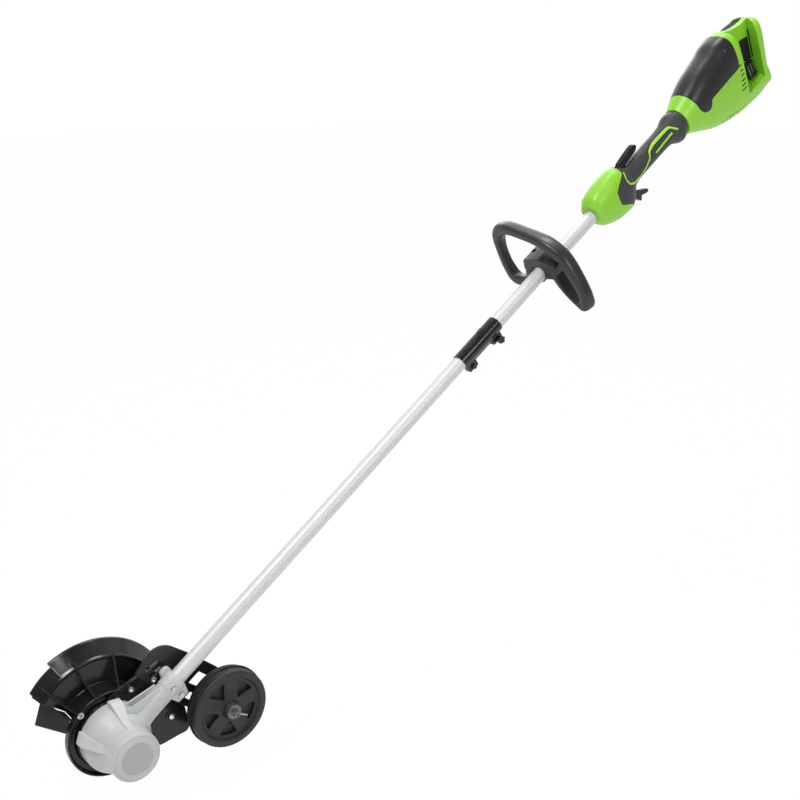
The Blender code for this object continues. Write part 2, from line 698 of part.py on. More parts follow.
def guard_rib(angle):
    """A radial gusset from the drum to the ridge, and on over the band as a low rib."""
    outline = [
        (HUB_R - 2, PLATE_X - 1.5), (HUB_R - 2, HUB_X - 3), (HUB_R + 1, HUB_X - 3),
        (RIDGE_R + 3, RIDGE_X + 5), (STEP_R + 0.8, RIM_X + 12), (STEP_R - 2, RIM_X + 12),
        (RIDGE_R, PLATE_X - 4.5),
    ]
    bm = bmesh.new()
    rows = []
    for offset in (-1.6, 1.6):
        rows.append([bm.verts.new(Vector((x, offset, radius)) * MM) for radius, x in outline])
    count = len(outline)
    for i in range(count):
        after = (i + 1) % count
        bm.faces.new((rows[0][i], rows[0][after], rows[1][after], rows[1][i]))
    bm.faces.new(rows[0])
    bm.faces.new(rows[1])
    bmesh.ops.rotate(bm, matrix=Matrix.Rotation(math.radians(angle), 3, "X"), verts=bm.verts)
    return mesh_of(bm)


# Guide wheel and its bracket


def build_wheel():
    axle = (WHEEL_UP, WHEEL_ALONG)
    x = (BRACKET_FACE - BRACKET_THICK, BRACKET_FACE)
    outline = [
        (82, 44), (112, 50), (124, 52), (138, 46), (148, 34), (161, -6), (176, -66), (172, -112),
        (150, -130), (124, -122), (108, -96), (98, -62), (96, -34), (90, -12),
    ]
    window_large = [(128, -42), (151, -42), (156, -62), (134, -62)]
    window_small = [(108, -56), (120, -56), (124, -72), (112, -72)]
    slots = [slot((100, 34), (118, 30), 2.6), slot((97, 22), (115, 18), 2.6)]
    bore = arc(AXLE_R + GAP, 0, 345, 23, (WHEEL_ALONG, WHEEL_UP))
    pivot_hole = arc(2.8, 0, 330, 11, PIVOT)
    bracket = plate([outline, window_large, window_small, bore, pivot_hole, *slots], x)
    piece("wheel_bracket", bracket, PAINTED, (x[0], PIVOT[1], PIVOT[0]))
    centre = (0, *axle)
    axle_profile = [
        (0, 48.5), (2.2, 48.5), (2.2, 50), (AXLE_R - 1, 50), (AXLE_R, 49), (AXLE_R, WHEEL_X[0] - GAP),
        (9, WHEEL_X[0] - GAP), (9, x[1] + GAP),
        (AXLE_R, x[1] + GAP), (AXLE_R, x[0] - GAP), (8, x[0] - GAP), (8, x[0] - 5), (0, x[0] - 5),
    ]
    pin_axle = piece("wheel_axle", turned(axle_profile, "x", centre, 16), BRIGHT, centre)
    pin_start, pin_end = [(PIN_X, WHEEL_UP - 0.86 * d, WHEEL_ALONG + 0.51 * d) for d in (-10, 10)]
    cut(pin_axle, rod(1.7, pin_start, pin_end, 10), "pin_hole")
    washer_x = HUB_END + GAP
    piece("axle_washer", ring(9, AXLE_R + GAP, washer_x, washer_x + 1.9, "x", centre, 20), BRIGHT)
    build_tyre_and_hub(centre)
    split_pin = [
        (PIN_X + bend, WHEEL_UP - 0.86 * d, WHEEL_ALONG + 0.51 * d)
        for d, bend in ((-7.5, 0), (8, 0), (12, 0.8), (15, 2), (19.5, 2.2))
    ]
    piece("split_pin", wire(split_pin, 1.3), BRIGHT)


def slot(first, last, radius):
    """A slotted hole's outline between two centres."""
    angle = math.degrees(math.atan2(last[1] - first[1], last[0] - first[0]))
    return arc(radius, angle - 90, angle + 90, 6, last) + arc(radius, angle + 90, angle + 270, 6, first)


def build_tyre_and_hub(centre):
    near, far = WHEEL_X
    profile = [
        (AXLE_R + GAP, HUB_END), (11, HUB_END), (13, HUB_END - 2), (15, far - 4), (30, far - 7),
        (49, far - 7), (52.5, far - 1), (WHEEL_R - 2.5, far - 1), (WHEEL_R, far - 3.5),
        (WHEEL_R, near + 4), (WHEEL_R - 3, near + 1), (51, near + 1), (46, near + 8), (17, near + 8),
        (14, near), (AXLE_R + GAP, near),
    ]
    wheel = piece("guide_wheel", turned(profile, "x", centre, 32), SOFT, centre)
    pockets = []
    for i in range(5):
        angle = 72 * i + POCKET_ANGLE
        outer = arc(45, angle - 20, angle + 20, 4, centre[:0:-1])
        outline = outer + arc(21, angle + 4, angle - 4, 1, centre[:0:-1])
        pockets.append(plate([outline], (far - 14, far + 5)))
    cut(wheel, merged(*pockets), "pockets")


# Assist loop


def leaning(side, height, along=0):
    """A point given across and up in the loop's own axes, whose plane leans rearwards as it rises."""
    x = side * math.cos(LOOP_ROLL) + height * math.sin(LOOP_ROLL)
    up = height * math.cos(LOOP_ROLL) - side * math.sin(LOOP_ROLL)
    return (x, up, LOOP_ALONG + along + LOOP_LEAN * up)


def clamp_half(outline):
    return loft([[leaning(side, height, along) for side, height in outline] for along in LOOP_BLOCK], True)


def bar_section(outer_x, outer_rise, inner_x, inner_rise, depth):
    """A rounded box across the bar, between its outer and its inner edge in the leaning plane."""
    slant = math.hypot(1, LOOP_LEAN)
    middle_x, middle_rise = (outer_x + inner_x) / 2, (outer_rise + inner_rise) / 2
    section = []
    for i in range(12):
        angle = 2 * math.pi * (i + 0.5) / 12
        out = math.copysign(abs(math.cos(angle)) ** 0.66, math.cos(angle))
        back = math.copysign(abs(math.sin(angle)) ** 0.66, math.sin(angle)) * depth
        x = middle_x + out * (outer_x - middle_x)
        rise = middle_rise + out * (outer_rise - middle_rise)
        up = (rise - back * LOOP_LEAN) / slant
        section.append((x, up, LOOP_ALONG + (rise * LOOP_LEAN + back) / slant))
    return section


def build_loop():
    """The loop, whose bar ends in the saddle under the tube, and the block that clamps it from above."""
    bar = loft([bar_section(*station) for station in LOOP_BAR])
    loop = piece("assist_loop", bar, DARK, (0, 0, LOOP_ALONG))
    join(loop, clamp_half(LOOP_SADDLE), "saddle")
    block = piece("loop_clamp", clamp_half(LOOP_LID), DARK, (0, 0, LOOP_ALONG))
    mouth = loft([
        [leaning(17.5 * math.cos(a), 17.5 * math.sin(a), LOOP_BLOCK[0] + along) for a in LOOP_MOUTH_ANGLES]
        for along in (-6, 1.4)
    ])
    beside = loft([
        [leaning(side, height, along) for side, height in LOOP_BLOCK_PLACE]
        for along in (-30, 30)
    ])
    cut(loop, beside, "block_place")
    for obj in (loop, block):
        cut(obj, rod(TUBE_R + GAP, (0, 0, 1000), (0, 0, 1120), 24), "tube_bore")
        cut(obj, mouth.copy(), "mouth")
    for side, name in zip(LOOP_BOLT_SIDES, ("right", "left")):
        end, low, middle, seat, inside, high = [
            leaning(side, height, LOOP_BOLT_ALONG) for height in (-10, -5, 8, 14.5, 17, 45)
        ]
        cut(loop, rod(2.8, end, middle, 12), f"{name}_hole")
        cut(block, rod(2.8, low, inside, 12), f"{name}_hole")
        cut(block, rod(4.7, seat, high, 12), f"{name}_recess")
        profile = [(0, 19), (4.2, 19), (4.2, 15.3), (2.4, 15.3), (2.4, -9.5), (0, -9.5)]
        shank = turned(profile, "along", (0, 0, 0), 14)
        rise = tool(*leaning(0, 1)) - tool(*leaning(0, 0))
        shank.transform(Vector((0, 0, 1)).rotation_difference(rise.normalized()).to_matrix().to_4x4())
        shank.transform(Matrix.Translation(tool(*leaning(side, 0, LOOP_BOLT_ALONG))))
        piece(f"loop_bolt_{name}", shank, BRIGHT)


# Front cover, grip and controls


def body_sections(inset):
    stations = [
        (1197, 20.5, 23, -17, 2.3), (1207, 26, 33, -29, 2.4), (1222, 28, 37, -37, 2.5),
        (1250, 29, 41, -46, 2.6), (1276, 28, 42, -49, 2.6), (1291, 25, 37, -45, 2.5),
        (1300, 21.5, 30, -36, 2.3), (1309, 19, 24, -26, 2.1),
        (1324, 18, 21, -21, 2.0), (1400, 18, 20, -20, 2.0), (1430, 19, 21, -21.5, 2.0),
        (1443, 23, 24, -28, 2.0), (1453, 26.5, 27, -33.5, 2.0), (1460, 27, 27.5, -34.5, 2.0),
        (GRIP_END, 26, 26.5, -33, 2.0),
    ]
    if inset:
        stations[0] = (1200, 22.5, 26, -20, 2.3)
        stations[-1] = (GRIP_END + 2, 26, 26.5, -33, 2.0)
    return [
        oval(along, wide - inset, top - inset, low + inset, power, 20)
        for along, wide, top, low, power in stations
    ]


def grown(outline, distance):
    """A closed outline moved outwards by a distance."""
    area = sum(a[0] * b[1] - b[0] * a[1] for a, b in zip(outline, [*outline[1:], outline[0]]))
    side = 1 if area > 0 else -1
    moved = []
    for i, point in enumerate(outline):
        before, after = Vector(outline[i - 1]), Vector(outline[(i + 1) % len(outline)])
        here = Vector(point)
        first, second = (here - before).normalized(), (after - here).normalized()
        normal = Vector((first.y + second.y, -first.x - second.x)).normalized() * side
        reach = distance / max(0.4, normal.dot(Vector((first.y, -first.x)) * side))
        moved.append(tuple(here + normal * reach))
    return moved


def front_shell(name, finish):
    """The hollow shell from the nose of the green cover to the collar, with its openings."""
    shell = piece(name, loft(body_sections(0)), finish)
    hollow = loft(body_sections(WALL))
    cut(shell, hollow, "hollow")
    cut(shell, rod(TUBE_R + GAP, (0, 0, 1150), (0, 0, 1250), 24), "tube_bore")
    cut(shell, rod(12, (0, 0, 1440), (0, 0, 1480), 20), "shaft_bore")
    return shell


def build_front_body():
    """Green cover halves, and grip halves that begin with the grey panel behind the cover."""
    for side, name in ((1, "left"), (-1, "right")):
        cover = front_shell(f"front_cover_{name}", GREEN)
        cut(cover, plate([grown(GRIP_OUTLINE, GAP)], (-80, 80)), "grip_place")
        keep(cover, half(side), "side")
        grip = front_shell(f"grip_{name}", DARK)
        keep(grip, plate([GRIP_OUTLINE], (-80, 80)), "place")
        openings = merged(
            box((-5.5, 5.5), (-60, -18), (1290, 1326)),
            box((-6, 6), (14, 60), (1289, 1314)),
        )
        cut(grip, openings, "openings")
        pins = merged(
            rod(2 + GAP, (-11, *TRIGGER_PIN[1:]), (11, *TRIGGER_PIN[1:]), 12),
            rod(2 + GAP, (-11, *LOCKOUT_PIN[1:]), (11, *LOCKOUT_PIN[1:]), 12),
        )
        cut(grip, pins, "pin_holes")
        keep(grip, half(side), "side")
    collar = [
        (9, HOUSING_START - 0.4), (COLLAR_R - 0.5, HOUSING_START - 0.4), (COLLAR_R, HOUSING_START - 1.2),
        (COLLAR_R, GRIP_END + 1.2), (COLLAR_R - 0.5, GRIP_END + GAP), (9, GRIP_END + GAP),
    ]
    piece("grip_collar", turned(collar, steps=28), DARK)


def build_controls():
    """Trigger and lock-out lever, each with the stubs that it turns on, and the trigger's switch."""
    trigger_outline = [
        (1294, -22), (1306, -24), (1311, -31), (1320, -39), (1339, -50), (1341, -55), (1336, -57),
        (1320, -51),
        (1317, -58), (1313, -59), (1309, -51), (1296, -40),
    ]
    trigger = piece("trigger", plate([trigger_outline], (-4.5, 4.5)), BLACK, TRIGGER_PIN)
    join(trigger, rod(2, (-10.5, *TRIGGER_PIN[1:]), (10.5, *TRIGGER_PIN[1:]), 12), "stubs")
    lever_outline = [
        (1293, 19), (1303, 19), (1309, 26), (1326, 28), (1348, 31), (1354, 35), (1353, 40), (1347, 42),
        (1319, 38),
        (1301, 35), (1293, 29),
    ]
    lever = piece("lockout_lever", plate([lever_outline], (-5, 5)), BLACK, LOCKOUT_PIN)
    join(lever, rod(2, (-10.5, *LOCKOUT_PIN[1:]), (10.5, *LOCKOUT_PIN[1:]), 12), "stubs")
    piece("trigger_switch", box((-7, 7), (-14, -5), (1334, 1360), 1), BLACK)


# Motor housing


def rear_lean(up):
    """How far the rear end leans forward at a height, with a foot at the bottom."""
    lean = 0.255 * (up - 48)
    if up < -45:
        lean += 0.455 * (-45 - up)
    return lean


def housing_sections(inset=0.0):
    stations = [
        (HOUSING_START, 27, 27, -31, 2.0, 0), (1488, 31, 33, -38, 2.1, 0), (1506, 35, 41, -48, 2.3, 0),
        (1545, 38, 54, -69, 2.7, 0), (1590, 38, 62, -83, 3.0, 0), (1625, 38, 70, -90, 3.2, 0.1),
        (1648, 38, 70, -92, 3.3, 0.3), (1668, 38, 62, -93, 3.6, 0.5), (1692, 38, 54, -92, 4.0, 0.8),
        (1715, 37.5, 50, -88, 4.8, 1), (1733, 37, 49.5, -88, 4.8, 1), (1739, 33.5, 46, -84, 4.5, 1),
    ]
    if inset:
        first, last = (HOUSING_START + WALL, 28, 29, -33, 2.0, 0), (1728, 37.2, 49.6, -88, 4.8, 1)
        stations = [first, *stations[1:-2], last]
    sections = []
    for along, wide, top, low, power, lean in stations:
        section = oval(along, wide - inset, top - inset, low + inset, power, 28)
        sections.append([(x, up, z + lean * rear_lean(up)) for x, up, z in section])
    return sections


def bay(grow=0.0):
    """The battery bay's space, grown by its wall. Its rear face leans back towards the tool's middle."""
    sections = []
    for x, rear in ((BAY_WALL_X - grow, 26), (BAY_WALL_X + 3, 26), (40, 0)):
        low = BAY_FLOOR - grow
        back = rear + grow
        sections.append([
            (x, 100, 1665 - grow), (x, low, 1641 - grow), (x, low, 1679 + back), (x, 100, 1709 + back),
        ])
    return loft(sections)


def housing_shell(name, finish):
    shell = piece(name, loft(housing_sections()), finish)
    hollow = cutter(f"hollow_{name}", loft(housing_sections(WALL)))
    boolean(hollow, cutter(f"bay_walls_{name}", bay(WALL)), "DIFFERENCE")
    boolean(shell, hollow, "DIFFERENCE")
    cut(shell, bay(), "bay")
    cut(shell, rod(10, (0, 0, 1440), (0, 0, 1500), 20), "shaft_bore")
    return shell


def build_housing():
    for side, name in ((1, "left"), (-1, "right")):
        shell = housing_shell(f"housing_{name}", GREEN)
        cut(shell, plate([grown(COVER_OUTLINE, GAP)], (-80, 80)), "cover_place")
        cut(shell, vents(side), "vents")
        if side < 0:
            latch_place = [(1675, 100), (1675, 30), (1736, 24), (1736, 100)]
            cut(shell, plate([latch_place], (-24, -3.5)), "latch_place")
        keep(shell, half(side), "side")
    cover = housing_shell("motor_cover", DARK)
    keep(cover, plate([COVER_OUTLINE], (-80, 80)), "place")
    latch_outline = [(1676, 44), (1682, 40), (1730, 34), (1735, 38), (1734, 44), (1705, 50), (1679, 53)]
    piece("battery_latch", plate([latch_outline], (-23.5, -4)), BLACK, LATCH_PIN)
    terminals = piece("battery_terminals", box((BAY_WALL_X + GAP, 21), (-47, -15), (1668, 1692), 1), BLACK)
    slots = merged(*[box((14, 30), (-42, -5), (along, along + 3.6)) for along in (1671, 1679, 1687)])
    cut(terminals, slots, "slots")


def vents(side):
    """The column of short slots beside the bay, and the row across the underside and up its sides."""
    slots = []
    x = (20, 60) if side > 0 else (-60, -20)
    for up, first, last in SIDE_VENTS:
        slots.append(box(x, (up - 1.3, up + 1.3), (first, last)))
    for i in range(5):
        along = 1556 + 11 * i
        slots.append(box((-34, 34), (-110, -60 - 3 * i), (along, along + 4)))
    return merged(*slots)


def build_motor():
    stator = piece("motor_stator", ring(MOTOR_R, 19, MOTOR_ALONG - 24, MOTOR_ALONG + 24), WINDING)
    slots = []
    for i in range(6):
        x, up = 22.8 * math.cos(math.pi / 3 * i), 22.8 * math.sin(math.pi / 3 * i)
        slots.append(rod(2.5, (x, up, MOTOR_ALONG - 30), (x, up, MOTOR_ALONG + 30), 8))
    cut(stator, merged(*slots), "slots")
    rotor = [
        (0, 1606), (4, 1606), (4, 1580), (18, 1580), (18, 1540), (4, 1540), (4, 1511), (7.5, 1511),
        (7.5, 1488),
        (DRIVE_R + GAP, 1488), (DRIVE_R + GAP, 1505 + GAP), (0, 1505 + GAP),
    ]
    piece("motor_rotor", turned(rotor, steps=20), BRIGHT)
    piece("motor_plate_front", ring(MOTOR_R + 2, 4 + GAP, 1514, 1522), CAST)
    piece("motor_plate_rear", ring(MOTOR_R + 2, 4 + GAP, 1587, 1594), CAST)
    fan = piece("cooling_fan", fan_mesh(), BLACK)
    cut(fan, rod(4 + GAP, (0, 0, 1590), (0, 0, 1610), 16), "bore")
    piece("controller_board", box((-24, 24), (-52, -49), (1552, 1622)), CIRCUIT)


def fan_mesh():
    """A flat fan with slanted vanes, as one star-shaped solid."""
    outline = []
    for i in range(9):
        base = 40 * i
        outline += arc(26, base, base + 14, 1) + arc(13, base + 20, base + 38, 1)
    bm = bmesh.new()
    rows = []
    for along, turn in ((1597, 0), (1604, 10)):
        row = []
        for a, b in outline:
            angle = math.atan2(b, a) + math.radians(turn)
            reach = math.hypot(a, b)
            row.append(bm.verts.new(tool(reach * math.cos(angle), reach * math.sin(angle), along)))
        rows.append(row)
    count = len(outline)
    for i in range(count):
        after = (i + 1) % count
        bm.faces.new((rows[0][i], rows[0][after], rows[1][after], rows[1][i]))
    bm.faces.new(rows[0])
    bm.faces.new(rows[1])
    return mesh_of(bm)


def main():
    build_shaft()
    build_coupler()
    build_gears()
    build_gear_case()
    build_spindle()
    build_guard()
    build_wheel()
    build_loop()
    build_front_body()
    build_controls()
    build_housing()
    build_motor()


main()
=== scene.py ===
"""Looks of the cordless lawn edger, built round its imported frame.

Shapes are drawn in the tool frame, in millimetres: x to the user's left, up across the shaft and
along the shaft towards the grip. Its zero is where the blade's axis meets the shaft's axis.
"""

from __future__ import annotations

import json
import logging
import math
from collections.abc import Callable, Sequence
from dataclasses import dataclass, field
from enum import Enum

import bmesh
import bpy
from mathutils import Matrix, Vector

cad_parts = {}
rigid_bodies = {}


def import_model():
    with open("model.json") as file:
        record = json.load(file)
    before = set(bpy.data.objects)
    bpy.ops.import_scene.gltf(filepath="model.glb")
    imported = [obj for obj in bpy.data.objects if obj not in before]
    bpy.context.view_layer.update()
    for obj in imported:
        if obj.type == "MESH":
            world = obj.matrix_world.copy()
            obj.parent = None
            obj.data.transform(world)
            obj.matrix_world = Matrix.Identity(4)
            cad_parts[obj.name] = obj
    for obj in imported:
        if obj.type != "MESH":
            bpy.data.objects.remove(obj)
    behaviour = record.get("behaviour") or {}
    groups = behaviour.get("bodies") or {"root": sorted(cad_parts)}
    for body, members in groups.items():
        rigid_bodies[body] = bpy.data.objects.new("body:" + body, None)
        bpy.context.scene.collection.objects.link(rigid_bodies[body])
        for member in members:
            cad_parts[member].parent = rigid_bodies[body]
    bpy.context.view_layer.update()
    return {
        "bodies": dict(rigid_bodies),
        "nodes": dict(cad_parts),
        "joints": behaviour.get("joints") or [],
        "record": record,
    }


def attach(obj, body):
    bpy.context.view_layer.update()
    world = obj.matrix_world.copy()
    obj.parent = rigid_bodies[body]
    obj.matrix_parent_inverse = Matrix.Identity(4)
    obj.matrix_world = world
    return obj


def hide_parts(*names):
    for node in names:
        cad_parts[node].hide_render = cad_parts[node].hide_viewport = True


log = logging.getLogger("lawn_edger")

MM = 0.001
SHAFT_SLOPE = math.radians(36)
GRIP_CENTRE = 1395.0

Spot = tuple[float, float, float]
Flat = tuple[float, float]
Mesh = bpy.types.Mesh
Thing = bpy.types.Object


class Axis(Enum):
    """The line that a turned shape turns about."""

    SHAFT = "shaft"
    ACROSS = "across"


class Side(Enum):
    """A side of the tool's parting plane, as the user holds it."""

    LEFT = 1
    RIGHT = -1


class Job(Enum):
    """What one solid does to another."""

    CUT = "DIFFERENCE"
    JOIN = "UNION"
    KEEP = "INTERSECT"


def local(x: float, up: float, along: float) -> Vector:
    """A spot of the tool frame, in metres of that frame's own axes."""
    return Vector((x, -up, along)) * MM


def tool_to_world() -> Matrix:
    """The placing of the tool frame in the row frame."""
    turn = Matrix.Rotation(SHAFT_SLOPE - math.pi / 2, 4, "X")
    return Matrix.Translation(-(turn @ local(0, 0, GRIP_CENTRE))) @ turn


TO_WORLD = tool_to_world()


class Stock:
    """Raw closed shapes in the tool frame, and the joinery between them."""

    @staticmethod
    def settled(bm: bmesh.types.BMesh, name: str = "shape") -> Mesh:
        """Turns a bmesh into a mesh with its faces outwards.

        Args:
            bm: The bmesh, which is freed.
            name: The mesh's name.

        Returns:
            The new mesh.
        """
        bmesh.ops.recalc_face_normals(bm, faces=bm.faces)
        mesh = bpy.data.meshes.new(name)
        bm.to_mesh(mesh)
        bm.free()
        return mesh

    @staticmethod
    def loft(sections: Sequence[Sequence[Spot]], flat_ends: bool = False) -> Mesh:
        """Builds a closed skin through loops of equally many spots.

        Args:
            sections: The loops, in order along the solid.
            flat_ends: Whether each end is one flat face, which a hollowed outline needs.

        Returns:
            The solid, with a fan of faces over each end that isn't one flat face.
        """
        bm = bmesh.new()
        rows = [[bm.verts.new(local(*spot)) for spot in section] for section in sections]
        count = len(rows[0])
        for first, second in zip(rows, rows[1:]):
            for i in range(count):
                after = (i + 1) % count
                bm.faces.new((first[i], first[after], second[after], second[i]))
        for row in (rows[0], rows[-1]):
            if flat_ends:
                bm.faces.new(row)
                continue
            middle = bm.verts.new(sum((vert.co for vert in row), Vector()) / count)
            for i in range(count):
                bm.faces.new((row[i], row[(i + 1) % count], middle))
        bmesh.ops.triangulate(bm, faces=bm.faces)
        return Stock.settled(bm)

    @staticmethod
    def lathe(profile: Sequence[Flat], axis: Axis, centre: Spot = (0, 0, 0), steps: int = 64) -> Mesh:
        """Turns a profile about the shaft or about a line across it.

        Args:
            profile: (radius, height) points. With both ends on the axis it is plain, else it closes on itself.
            axis: What the profile turns about.
            centre: Where the axis and height zero lie.
            steps: How many facets go round.

        Returns:
            The turned solid.
        """
        bm = bmesh.new()
        rows: list[list[bmesh.types.BMVert]] = []
        for radius, height in profile:
            if radius < 1e-6:
                rows.append([bm.verts.new((0, 0, height * MM))])
                continue
            angles = [2 * math.pi * i / steps for i in range(steps)]
            rows.append(
                [
                    bm.verts.new((radius * math.cos(a) * MM, radius * math.sin(a) * MM, height * MM))
                    for a in angles
                ]
            )
        pairs = list(zip(rows, rows[1:]))
        if len(rows[0]) > 1 and len(rows[-1]) > 1:
            pairs.append((rows[-1], rows[0]))
        for first, second in pairs:
            for i in range(steps):
                after = (i + 1) % steps
                corners = [
                    first[i % len(first)], first[after % len(first)], second[after % len(second)],
                    second[i % len(second)],
                ]
                unlike = [vert for n, vert in enumerate(corners) if vert not in corners[:n]]
                if len(unlike) > 2:
                    bm.faces.new(unlike)
        mesh = Stock.settled(bm)
        if axis is Axis.ACROSS:
            mesh.transform(Matrix.Rotation(math.pi / 2, 4, "Y"))
        mesh.transform(Matrix.Translation(local(*centre)))
        return mesh

    @staticmethod
    def plate(outlines: Sequence[Sequence[Flat]], low: float, high: float) -> Mesh:
        """Cuts a flat piece out of sheet that lies across x.

        Args:
            outlines: Loops of (along, up) points, the first outside and the rest holes.
            low: The sheet's lower x.
            high: The sheet's higher x.

        Returns:
            The flat piece.
        """
        curve = bpy.data.curves.new("outline", "CURVE")
        curve.dimensions = "2D"
        curve.fill_mode = "BOTH"
        curve.extrude = (high - low) / 2 * MM
        for outline in outlines:
            spline = curve.splines.new("POLY")
            spline.points.add(len(outline) - 1)
            spline.use_cyclic_u = True
            for point, (along, up) in zip(spline.points, outline):
                point.co = (along * MM, up * MM, 0, 1)
        mesh = Stock.from_curve(curve)
        mesh.transform(Matrix(((0, 0, 1, 0), (0, -1, 0, 0), (1, 0, 0, 0), (0, 0, 0, 1))))
        mesh.transform(Matrix.Translation(local((low + high) / 2, 0, 0)))
        return mesh

    @staticmethod
    def from_curve(curve: bpy.types.Curve) -> Mesh:
        """Welds a filled curve into a closed mesh."""
        obj = bpy.data.objects.new("curve", curve)
        bpy.context.scene.collection.objects.link(obj)
        graph = bpy.context.evaluated_depsgraph_get()
        raw = bpy.data.meshes.new_from_object(obj.evaluated_get(graph))
        bpy.data.objects.remove(obj, do_unlink=True)
        bm = bmesh.new()
        bm.from_mesh(raw)
        bmesh.ops.remove_doubles(bm, verts=bm.verts, dist=0.00001)
        return Stock.settled(bm)

    @staticmethod
    def rod(radius: float, start: Spot, end: Spot, segments: int = 32, far: float | None = None) -> Mesh:
        """Makes a round bar or a cone between two spots.

        Args:
            radius: The radius at the start.
            start: The first end's centre.
            end: The other end's centre.
            segments: How many facets go round.
            far: The radius at the end, where it differs.

        Returns:
            The bar.
        """
        bm = bmesh.new()
        first, last = local(*start), local(*end)
        span = last - first
        wide = (radius if far is None else far) * MM
        bmesh.ops.create_cone(
            bm, cap_ends=True, segments=segments, radius1=radius * MM, radius2=wide, depth=span.length,
        )
        turn = Vector((0, 0, 1)).rotation_difference(span.normalized()).to_matrix()
        bmesh.ops.rotate(bm, matrix=turn, verts=bm.verts)
        bmesh.ops.translate(bm, vec=(first + last) / 2, verts=bm.verts)
        return Stock.settled(bm)

    @staticmethod
    def block(x: Flat, up: Flat, along: Flat, soften: float = 0.0) -> Mesh:
        """Makes a block from three (low, high) pairs.

        Args:
            x: Its ends across the tool.
            up: Its ends across the shaft.
            along: Its ends along the shaft.
            soften: The width of the rounding on its edges.

        Returns:
            The block.
        """
        bm = bmesh.new()
        bmesh.ops.create_cube(bm, size=MM)
        bmesh.ops.scale(bm, vec=[pair[1] - pair[0] for pair in (x, up, along)], verts=bm.verts)
        if soften:
            bmesh.ops.bevel(bm, geom=bm.edges, offset=soften * MM, segments=3, affect="EDGES", profile=0.5)
        middle = local(*[(pair[0] + pair[1]) / 2 for pair in (x, up, along)])
        bmesh.ops.translate(bm, vec=middle, verts=bm.verts)
        return Stock.settled(bm)

    @staticmethod
    def tube_along(spots: Sequence[Spot], radius: float, closed: bool = False, rounds: int = 6) -> Mesh:
        """Makes a round bar that follows spots.

        Args:
            spots: The bar's middle line.
            radius: The bar's radius.
            closed: Whether its end meets its start.
            rounds: How finely the section is rounded.

        Returns:
            The bar.
        """
        curve = bpy.data.curves.new("bar", "CURVE")
        curve.dimensions = "3D"
        curve.bevel_depth = radius * MM
        curve.bevel_resolution = rounds
        curve.use_fill_caps = not closed
        spline = curve.splines.new("POLY")
        spline.points.add(len(spots) - 1)
        spline.use_cyclic_u = closed
        for point, spot in zip(spline.points, spots):
            point.co = (*local(*spot), 1)
        return Stock.from_curve(curve)

    @staticmethod
    def together(*meshes: Mesh) -> Mesh:
        """Holds several separate shapes in one mesh."""
        bm = bmesh.new()
        for mesh in meshes:
            bm.from_mesh(mesh)
        mesh = bpy.data.meshes.new("together")
        bm.to_mesh(mesh)
        bm.free()
        return mesh

    @staticmethod
    def worked(body: Mesh, tool: Mesh, job: Job) -> Mesh:
        """Cuts, joins or keeps one shape with another.

        Args:
            body: The shape that is worked on.
            tool: The shape that works on it.
            job: What is done.

        Returns:
            The result, with the tool's mesh left as it was.
        """
        base = bpy.data.objects.new("worked", body)
        other = bpy.data.objects.new("working", tool)
        for obj in (base, other):
            bpy.context.scene.collection.objects.link(obj)
        modifier = base.modifiers.new("work", "BOOLEAN")
        modifier.operation = job.value
        modifier.object = other
        modifier.solver = "EXACT"
        graph = bpy.context.evaluated_depsgraph_get()
        result = bpy.data.meshes.new_from_object(base.evaluated_get(graph))
        for obj in (base, other):
            bpy.data.objects.remove(obj, do_unlink=True)
        return result

    @staticmethod
    def ribbon(
        path: Sequence[Flat], width: float, laid: Callable[[float, float], Spot], proud: float = 0.35,
    ) -> Mesh:
        """Makes a thin strip that follows a skin.

        Args:
            path: The strip's middle line, as (along, up) points.
            width: The strip's width.
            laid: Gives the skin's spot at a place and height.
            proud: How far the strip's middle stands out of the skin.

        Returns:
            The strip.
        """
        dense: list[Flat] = []
        for a, b in zip(path, path[1:]):
            steps = max(1, int(math.dist(a, b) / 1.5))
            dense += [
                (a[0] + (b[0] - a[0]) * i / steps, a[1] + (b[1] - a[1]) * i / steps)
                for i in range(steps)
            ]
        dense.append(path[-1])
        sections = []
        for i, (along, up) in enumerate(dense):
            before, after = dense[max(0, i - 1)], dense[min(len(dense) - 1, i + 1)]
            way = Vector((after[0] - before[0], after[1] - before[1])).normalized()
            section = []
            for share, lift in ((-1, -0.7), (-1, 0.1), (-0.6, proud), (0.6, proud), (1, 0.1), (1, -0.7)):
                reach = share * width / 2
                x, up_there, along_there = laid(along - way.y * reach, up + way.x * reach)
                section.append((x + lift, up_there, along_there))
            sections.append(section)
        return Stock.loft(sections, True)

    @staticmethod
    def turned(sides: Sequence[Sequence[Spot]], angle: float) -> Mesh:
        """A solid between two like loops, turned about the blade's axis.

        Args:
            sides: The two loops, as they lie at no angle.
            angle: The turn in degrees.

        Returns:
            The mesh.
        """
        bm = bmesh.new()
        rows = [[bm.verts.new(Vector(spot) * MM) for spot in side] for side in sides]
        count = len(rows[0])
        for i in range(count):
            after = (i + 1) % count
            bm.faces.new((rows[0][i], rows[0][after], rows[1][after], rows[1][i]))
        bm.faces.new(rows[0])
        bm.faces.new(rows[1])
        bmesh.ops.rotate(bm, matrix=Matrix.Rotation(math.radians(angle), 3, "X"), verts=bm.verts)
        return Stock.settled(bm)

    @staticmethod
    def chain(body: Mesh, job: Job, *tools: Mesh) -> Mesh:
        """Works a shape with several tools in turn."""
        for tool in tools:
            body = Stock.worked(body, tool, job)
        return body


